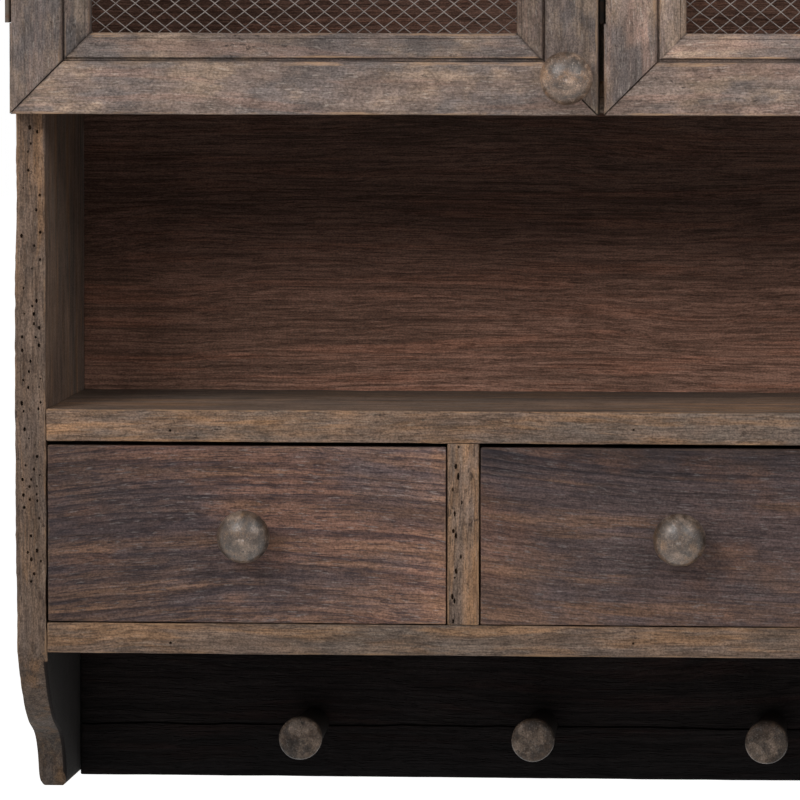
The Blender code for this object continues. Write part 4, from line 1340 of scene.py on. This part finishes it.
class CABINET_OT_doors(bpy.types.Operator):
    """Make the mitred frames of the doors and the strips that hold the mesh"""

    bl_idname = "cabinet.doors"
    bl_label = "Door frames"

    # Shades of the left, right, bottom and top strip of each frame, then of its bead.
    SHADES = {
        "door_left": (-0.45, -0.75, 0.65, 0.1, -1.5, -0.9, -0.1, -0.2),
        "door_centre": (0.25, 0.1, 0.5, -0.2, 0.5, 0.2, 1.15, 0.4),
        "door_right": (0.0, -0.4, 0.3, 0.5, -0.3, 0.4, -0.1, 0.6),
    }
    AMBER = 0.12
    MITRE_DIRT = 0.85
    UPRIGHT_QUIRK = 0.55
    # The pale streak on the centre door's left stile: its place and what it adds.
    STREAK_ACROSS = (0.013, 0.027)
    STREAK_FOOT = 0.045
    STREAK_PALE = 0.9
    STREAK_AMBER = 0.6

    def execute(self, context):
        sizes = context.scene.cabinet_sizes
        low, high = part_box("door_left_frame")
        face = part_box("door_left_bead")[0].x - low.x - sizes.fit
        rails = [self.rail(side, low, high, face, sizes) for side in STRIPS]
        beads = [self.bead(side, low, high, face, sizes) for side in STRIPS]
        for door in DOORS:
            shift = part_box(door + "_frame")[0] - low
            shades = iter(self.SHADES[door])
            hinged = "right" if door == "door_right" else "left"
            for strips, node, slot in ((rails, "_frame", "door_wood"), (beads, "_bead", "bead_wood")):
                for side, strip in zip(STRIPS, strips):
                    made = copy_to(strip, f"{door}{node}_{side}", shift)
                    wear(made, sizes.wear_depth * 0.8, sizes.wear_size)
                    if node == "_frame" and side == hinged:
                        self.mortise(made, door, sizes)
                    streaked = (door, node, side) == ("door_centre", "_frame", "left")
                    marks = self.marks(side, low + shift, high + shift, next(shades), streaked, sizes)
                    settle(made, door, door_wood("Z" if side in UPRIGHT else "X"), slot, [door + node],
                           sizes.edge_reach, **marks)
        for strip in rails + beads:
            bpy.data.objects.remove(strip)
        return {"FINISHED"}

    def marks(self, side, low, high, base, streaked, sizes):
        """Shade, dirt and warmth of a strip, dirty at its mitres and pale along its streak."""
        inward, ends = self.corners(side, low, high)
        mitres = [(corner, (inward - other).normalized()) for corner, other in ends]

        def grime(place):
            nearest = min(abs((place - corner).dot(normal)) for corner, normal in mitres)
            return self.MITRE_DIRT * ramp(nearest, sizes.mitre_grime, 0.0)

        def streak(place):
            start, end = self.STREAK_ACROSS
            inside = start < place.x - low.x < end and place.z > low.z + self.STREAK_FOOT
            return 1.0 if streaked and inside else 0.0

        return {"shade": lambda place: base + self.STREAK_PALE * streak(place), "grime": grime,
                "amber": lambda place: self.AMBER + self.STREAK_AMBER * streak(place)}

    @staticmethod
    def span(side, low, high, near, far):
        """Corners, in X and Z, of the band that lies from near to far inside one side."""
        start, end = low + (X + Z) * near, high - (X + Z) * near
        if side == "left":
            end.x = low.x + far
        elif side == "right":
            start.x = high.x - far
        elif side == "bottom":
            end.z = low.z + far
        else:
            start.z = high.z - far
        return start, end

    @staticmethod
    def corners(side, low, high):
        """The inward direction of a side, and its two corners with their neighbours' directions."""
        inward = {"left": X, "right": -X, "bottom": Z, "top": -Z}
        ends = ("bottom", "top") if side in UPRIGHT else UPRIGHT
        found = []
        for end in ends:
            both = (side, end)
            corner = Vector((low.x if "left" in both else high.x, low.y,
                             low.z if "bottom" in both else high.z))
            found.append((corner, inward[end]))
        return inward[side], found

    def rail(self, side, low, high, face, sizes):
        start, end = self.span(side, low, high, 0.0, face + sizes.frame_lip)
        inward, ends = self.corners(side, low, high)
        strip = mitred(side + "_rail", start, end, inward, ends, sizes.mitre_gap)
        notch_low, notch_high = self.span(side, low, high, face, face + sizes.frame_lip + PAST)
        along = Z if side in UPRIGHT else X
        notch_low -= along * face + Y * PAST
        notch_high += along * face
        notch_high.y = low.y + sizes.lip_depth
        cut(strip, box("rebate", notch_low, notch_high))
        ring = sizes.edge_reach
        self.ease(strip, along, inward, low, high, sizes,
                  ((face, 0.0, sizes.frame_round, 4, face - sizes.frame_round - ring),
                   (0.0, 0.0, sizes.frame_ease, 2, sizes.frame_ease + ring)))
        return strip

    def bead(self, side, low, high, face, sizes):
        near, far = face + sizes.fit, face + sizes.bead_width
        bead_low, bead_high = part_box("door_left_bead")
        start, end = self.span(side, low, high, near, far)
        start.y, end.y = bead_low.y, bead_high.y
        inward, ends = self.corners(side, low, high)
        strip = mitred(side + "_strip", start, end, inward, ends, sizes.mitre_gap / 4)
        quirk = sizes.quirk_width * (self.UPRIGHT_QUIRK if side in UPRIGHT else 1.0)
        groove_low, groove_high = self.span(side, low, high, near - PAST, near + quirk)
        groove_low.y = bead_low.y - PAST
        groove_high.y = bead_low.y + sizes.quirk_depth
        cut(strip, box("quirk", groove_low, groove_high))
        lip = far - sizes.bead_round
        line_low, line_high = self.span(side, low, high, lip - sizes.lip_groove, lip)
        line_low.y, line_high.y = groove_low.y, bead_low.y + sizes.lip_groove
        cut(strip, box("line", line_low, line_high))
        along = Z if side in UPRIGHT else X
        inner = near + quirk
        self.ease(strip, along, inward, low, high, sizes,
                  ((far, sizes.bead_setback, sizes.bead_round * 0.8, 3, far - sizes.bead_round / 2),
                   (inner, sizes.bead_setback, sizes.board_ease, 2, inner + sizes.edge_reach)))
        return strip

    @staticmethod
    def ease(strip, along, inward, low, high, sizes, rounds):
        """Rounds a strip's long front edges, opens its mitres and cuts it into a grid."""
        edge_of = low if inward in (X, Z) else high

        def inside(place):
            return abs((place - edge_of).dot(inward))

        open_piece(strip)
        for far, depth, radius, segments, ring in rounds:
            pick(strip, "EDGE", lambda edge: runs_along(edge, along)
                 and abs(inside(middle_of(edge)) - far) < PAST / 20
                 and abs(middle_of(edge).y - low.y - depth) < PAST / 20)
            bpy.ops.mesh.bevel(offset=radius, segments=segments, affect="EDGES")
            slice_at(edge_of + inward * ring, inward)
        divide(strip, along, sizes.board_grid)
        pick(strip, "EDGE", lambda edge: not runs_along(edge, along) and edge.calc_length() > WIDE_GRID)
        bpy.ops.mesh.subdivide(number_cuts=3)
        close_piece()

    @staticmethod
    def mortise(stile, door, sizes):
        """Lets the hinge leaves into the edge of a stile."""
        gap = clearance(sizes)
        for place in ("lower", "upper"):
            low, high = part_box(f"{door}_{place}_hinge_door_leaf")
            cut(stile, box("mortise", low - gap, high + gap))


class CABINET_OT_mesh(bpy.types.Operator):
    """Make the diamond mesh of the doors"""

    bl_idname = "cabinet.mesh"
    bl_label = "Mesh"

    def execute(self, context):
        sizes = context.scene.cabinet_sizes
        low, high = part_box("door_left_mesh")
        first = self.net(sizes, low, high)
        for number, door in enumerate(DOORS):
            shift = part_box(door + "_mesh")[0] - low
            made = copy_to(first, door + "_net", shift)
            open_piece(made)
            bpy.ops.transform.vertex_random(offset=sizes.strand * 0.3, seed=number + 1)
            close_piece()
            choose(made)
            strands = made.modifiers.new("strands", "WIREFRAME")
            strands.thickness = sizes.strand
            strands.use_even_offset = False
            bpy.ops.object.modifier_apply(modifier=strands.name)
            settle(made, door, zinc_wire(), "galvanised_wire", [door + "_mesh"])
        bpy.data.objects.remove(first)
        return {"FINISHED"}

    @staticmethod
    def net(sizes, low, high):
        """A flat sheet of diamonds: a grid with a point in each square, and its own lines dissolved."""
        size = high - low
        across, up = round(size.x / sizes.diamond_width), round(size.z / sizes.diamond_height)
        clear_selection()
        bpy.ops.mesh.primitive_grid_add(x_subdivisions=across, y_subdivisions=up, size=1.0,
                                        location=(low + high) / 2, rotation=(math.pi / 2, 0, 0))
        sheet = bpy.context.object
        sheet.name = sheet.data.name = "net"
        sheet.scale = (size.x, size.z, 1.0)
        bpy.ops.object.transform_apply(location=True, rotation=True, scale=True)
        open_piece(sheet)
        bpy.ops.mesh.poke()
        pick(sheet, "EDGE", lambda edge: (runs_along(edge, X) or runs_along(edge, Z))
             and len(edge.link_faces) == 2)
        bpy.ops.mesh.dissolve_edges(use_verts=False)
        close_piece()
        return sheet


class CABINET_OT_hinges(bpy.types.Operator):
    """Finish the hinges"""

    bl_idname = "cabinet.hinges"
    bl_label = "Hinges"

    def execute(self, context):
        for door in DOORS:
            for place in ("lower", "upper"):
                for leaf in ("carcass_leaf", "door_leaf"):
                    # The centre door's hinges get the iron painted as shade in the door gap.
                    finish = shade_painted_iron() if door == "door_centre" else iron()
                    dress(f"{door}_{place}_hinge_{leaf}", finish)
        return {"FINISHED"}


class CABINET_OT_nails(bpy.types.Operator):
    """Drive the nails into the sides, the top and the back"""

    bl_idname = "cabinet.nails"
    bl_label = "Nails"

    NAIL_STEPS = 12
    BACK_NAILS = 7

    def execute(self, context):
        sizes = context.scene.cabinet_sizes
        radius = sizes.nail_head
        shank = radius * 0.4
        rise = radius / 5
        profile = [(0.0, rise), (radius * 0.6, rise * 0.9), (radius, rise * 0.4), (radius, 0.0),
                   (shank, 0.0), (shank, -radius), (0.0, -radius)]
        first = lathe("nail", profile, self.NAIL_STEPS)
        chance = random.Random(11)
        for name, turn, stray, places in self.rows(sizes):
            heads = []
            for spot in places:
                head = copy_to(first, name, (0, 0, 0))
                head.rotation_euler = turn
                head.location = spot + stray * chance.uniform(-2, 2) * radius
                heads.append(head)
            nails = join(heads)
            bpy.ops.object.transform_apply(location=True, rotation=True, scale=True)
            settle(nails, "carcass", iron(), "hinge_iron")
        bpy.data.objects.remove(first)
        return {"FINISHED"}

    def rows(self, sizes):
        """Name, turn, direction in which the nails stray, and places of each group of nails."""
        inset = sizes.nail_inset
        low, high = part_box("left_side")
        depths = (low.y + inset, (low.y + high.y) / 2, high.y - inset)
        levels = [centre_of(node).z for node in LONG_BOARDS]
        groups = []
        for name, hand in (("left_nails", -1), ("right_nails", 1)):
            spots = [Vector((hand * -low.x, depth, level)) for level in levels for depth in depths]
            groups.append((name, (0, 0, hand * math.pi / 2), Y, spots))
        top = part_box("top_board")[1].z
        uprights = ("left_side", "right_side", "cupboard_divider_left", "cupboard_divider_right")
        spots = [Vector((centre_of(node).x, depth, top)) for node in uprights for depth in depths]
        groups.append(("top_nails", (-math.pi / 2, 0, 0), Y, spots))
        start, end = (corner.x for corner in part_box("back_panel"))
        step = (end - start - 2 * inset) / (self.BACK_NAILS - 1)
        across = [start + inset + step * number for number in range(self.BACK_NAILS)]
        spots = [Vector((spot, -sizes.nail_head / 8, level)) for level in levels for spot in across]
        groups.append(("back_nails", (0, 0, math.pi), X, spots))
        return groups


class CABINET_OT_stage(bpy.types.Operator):
    """Set the floor, the light and the camera"""

    bl_idname = "cabinet.stage"
    bl_label = "Stage"

    FLOOR_ROUGHNESS = 0.9
    FLOOR_GLOSS = 0.1
    FLOOR_GLOW = 0.85

    def execute(self, context):
        stage = context.scene.cabinet_stage
        self.floor(stage)
        self.world(context.scene, stage)
        spread, reach = stage.lamp_spread, stage.lamp_reach
        for name, across, along, strength in (("lamp_left", -spread, -reach, stage.left_power),
                                              ("lamp_right", spread, -reach, stage.right_power),
                                              ("lamp_rear", 0.0, reach, stage.rear_power)):
            self.lamp(name, (across, along, stage.lamp_rise), strength, stage.lamp_size)
        self.camera(context.scene, stage)
        context.scene.view_settings.view_transform = "Standard"
        return {"FINISHED"}

    @staticmethod
    def seen(graph):
        """1 where the camera looks straight at a surface, in a mirror or through glass."""
        path = graph.add("LightPath").outputs
        both = graph.maths("MAXIMUM", path["Is Camera Ray"], path["Is Glossy Ray"])
        return graph.maths("MAXIMUM", both, path["Is Transmission Ray"])

    def floor(self, stage):
        clear_selection()
        bpy.ops.mesh.primitive_plane_add(size=stage.floor_size,
                                         location=(0, 0, cad_low.z - stage.floor_drop))
        ground = bpy.context.object
        ground.name = "floor"
        made, graph, shader = new_material("floor")
        hue = bpy.context.scene.cabinet_colours.floor
        shader.inputs["Base Color"].default_value = (*hue, 1.0)
        shader.inputs["Roughness"].default_value = self.FLOOR_ROUGHNESS
        shader.inputs["Specular IOR Level"].default_value = self.FLOOR_GLOSS
        shader.inputs["Emission Color"].default_value = (1.0, 1.0, 1.0, 1.0)
        graph.feed(shader.inputs["Emission Strength"], graph.times(self.seen(graph), self.FLOOR_GLOW))
        ground.data.materials.append(made)

    def world(self, scene, stage):
        scene.world = bpy.data.worlds.new("studio")
        scene.world.use_nodes = True
        graph = Graph(scene.world.node_tree)
        back = scene.world.node_tree.nodes["Background"]
        back.inputs["Color"].default_value = (1.0, 1.0, 1.0, 1.0)
        strength = graph.add("MapRange", {"Value": self.seen(graph), "To Min": stage.fill, "To Max": 1.0})
        graph.feed(back.inputs["Strength"], strength.outputs[0])

    @staticmethod
    def lamp(name, place, power, size):
        bpy.ops.object.light_add(type="AREA", location=place)
        lamp = bpy.context.object
        lamp.name = name
        lamp.rotation_euler = (-Vector(place)).to_track_quat("-Z", "Y").to_euler()
        lamp.data.energy = power
        lamp.data.size = size

    @staticmethod
    def camera(scene, stage):
        place, aim = Vector(stage.camera_place), Vector(stage.camera_aim)
        bpy.ops.object.camera_add(location=place)
        camera = bpy.context.object
        camera.rotation_euler = (aim - place).to_track_quat("-Z", "Y").to_euler()
        camera.data.lens = stage.camera_lens
        scene.camera = camera


STEPS = (CABINET_OT_sides, CABINET_OT_boards, CABINET_OT_back, CABINET_OT_peg_board, CABINET_OT_drawers,
         CABINET_OT_knobs, CABINET_OT_doors, CABINET_OT_mesh, CABINET_OT_hinges, CABINET_OT_nails,
         CABINET_OT_stage)


class CABINET_PT_dressing(bpy.types.Panel):
    """Lists the steps that dress the cabinet"""

    bl_label = "Cabinet"
    bl_idname = "CABINET_PT_dressing"
    bl_space_type = "VIEW_3D"
    bl_region_type = "UI"
    bl_category = "Cabinet"

    def draw(self, context):
        for step in STEPS:
            self.layout.operator(step.bl_idname)


GROUPS = {"cabinet_sizes": CabinetSizes, "cabinet_colours": CabinetColours, "cabinet_stage": CabinetStage}


def register():
    for known in (*GROUPS.values(), *STEPS, CABINET_PT_dressing):
        bpy.utils.register_class(known)
    for name, group in GROUPS.items():
        setattr(bpy.types.Scene, name, bpy.props.PointerProperty(type=group))


def unregister():
    for name in GROUPS:
        delattr(bpy.types.Scene, name)
    for known in (CABINET_PT_dressing, *reversed(STEPS), *GROUPS.values()):
        bpy.utils.unregister_class(known)


def main():
    register()
    for step in STEPS:
        getattr(bpy.ops.cabinet, step.bl_idname.split(".")[1])()


if __name__ == "__main__":
    main()
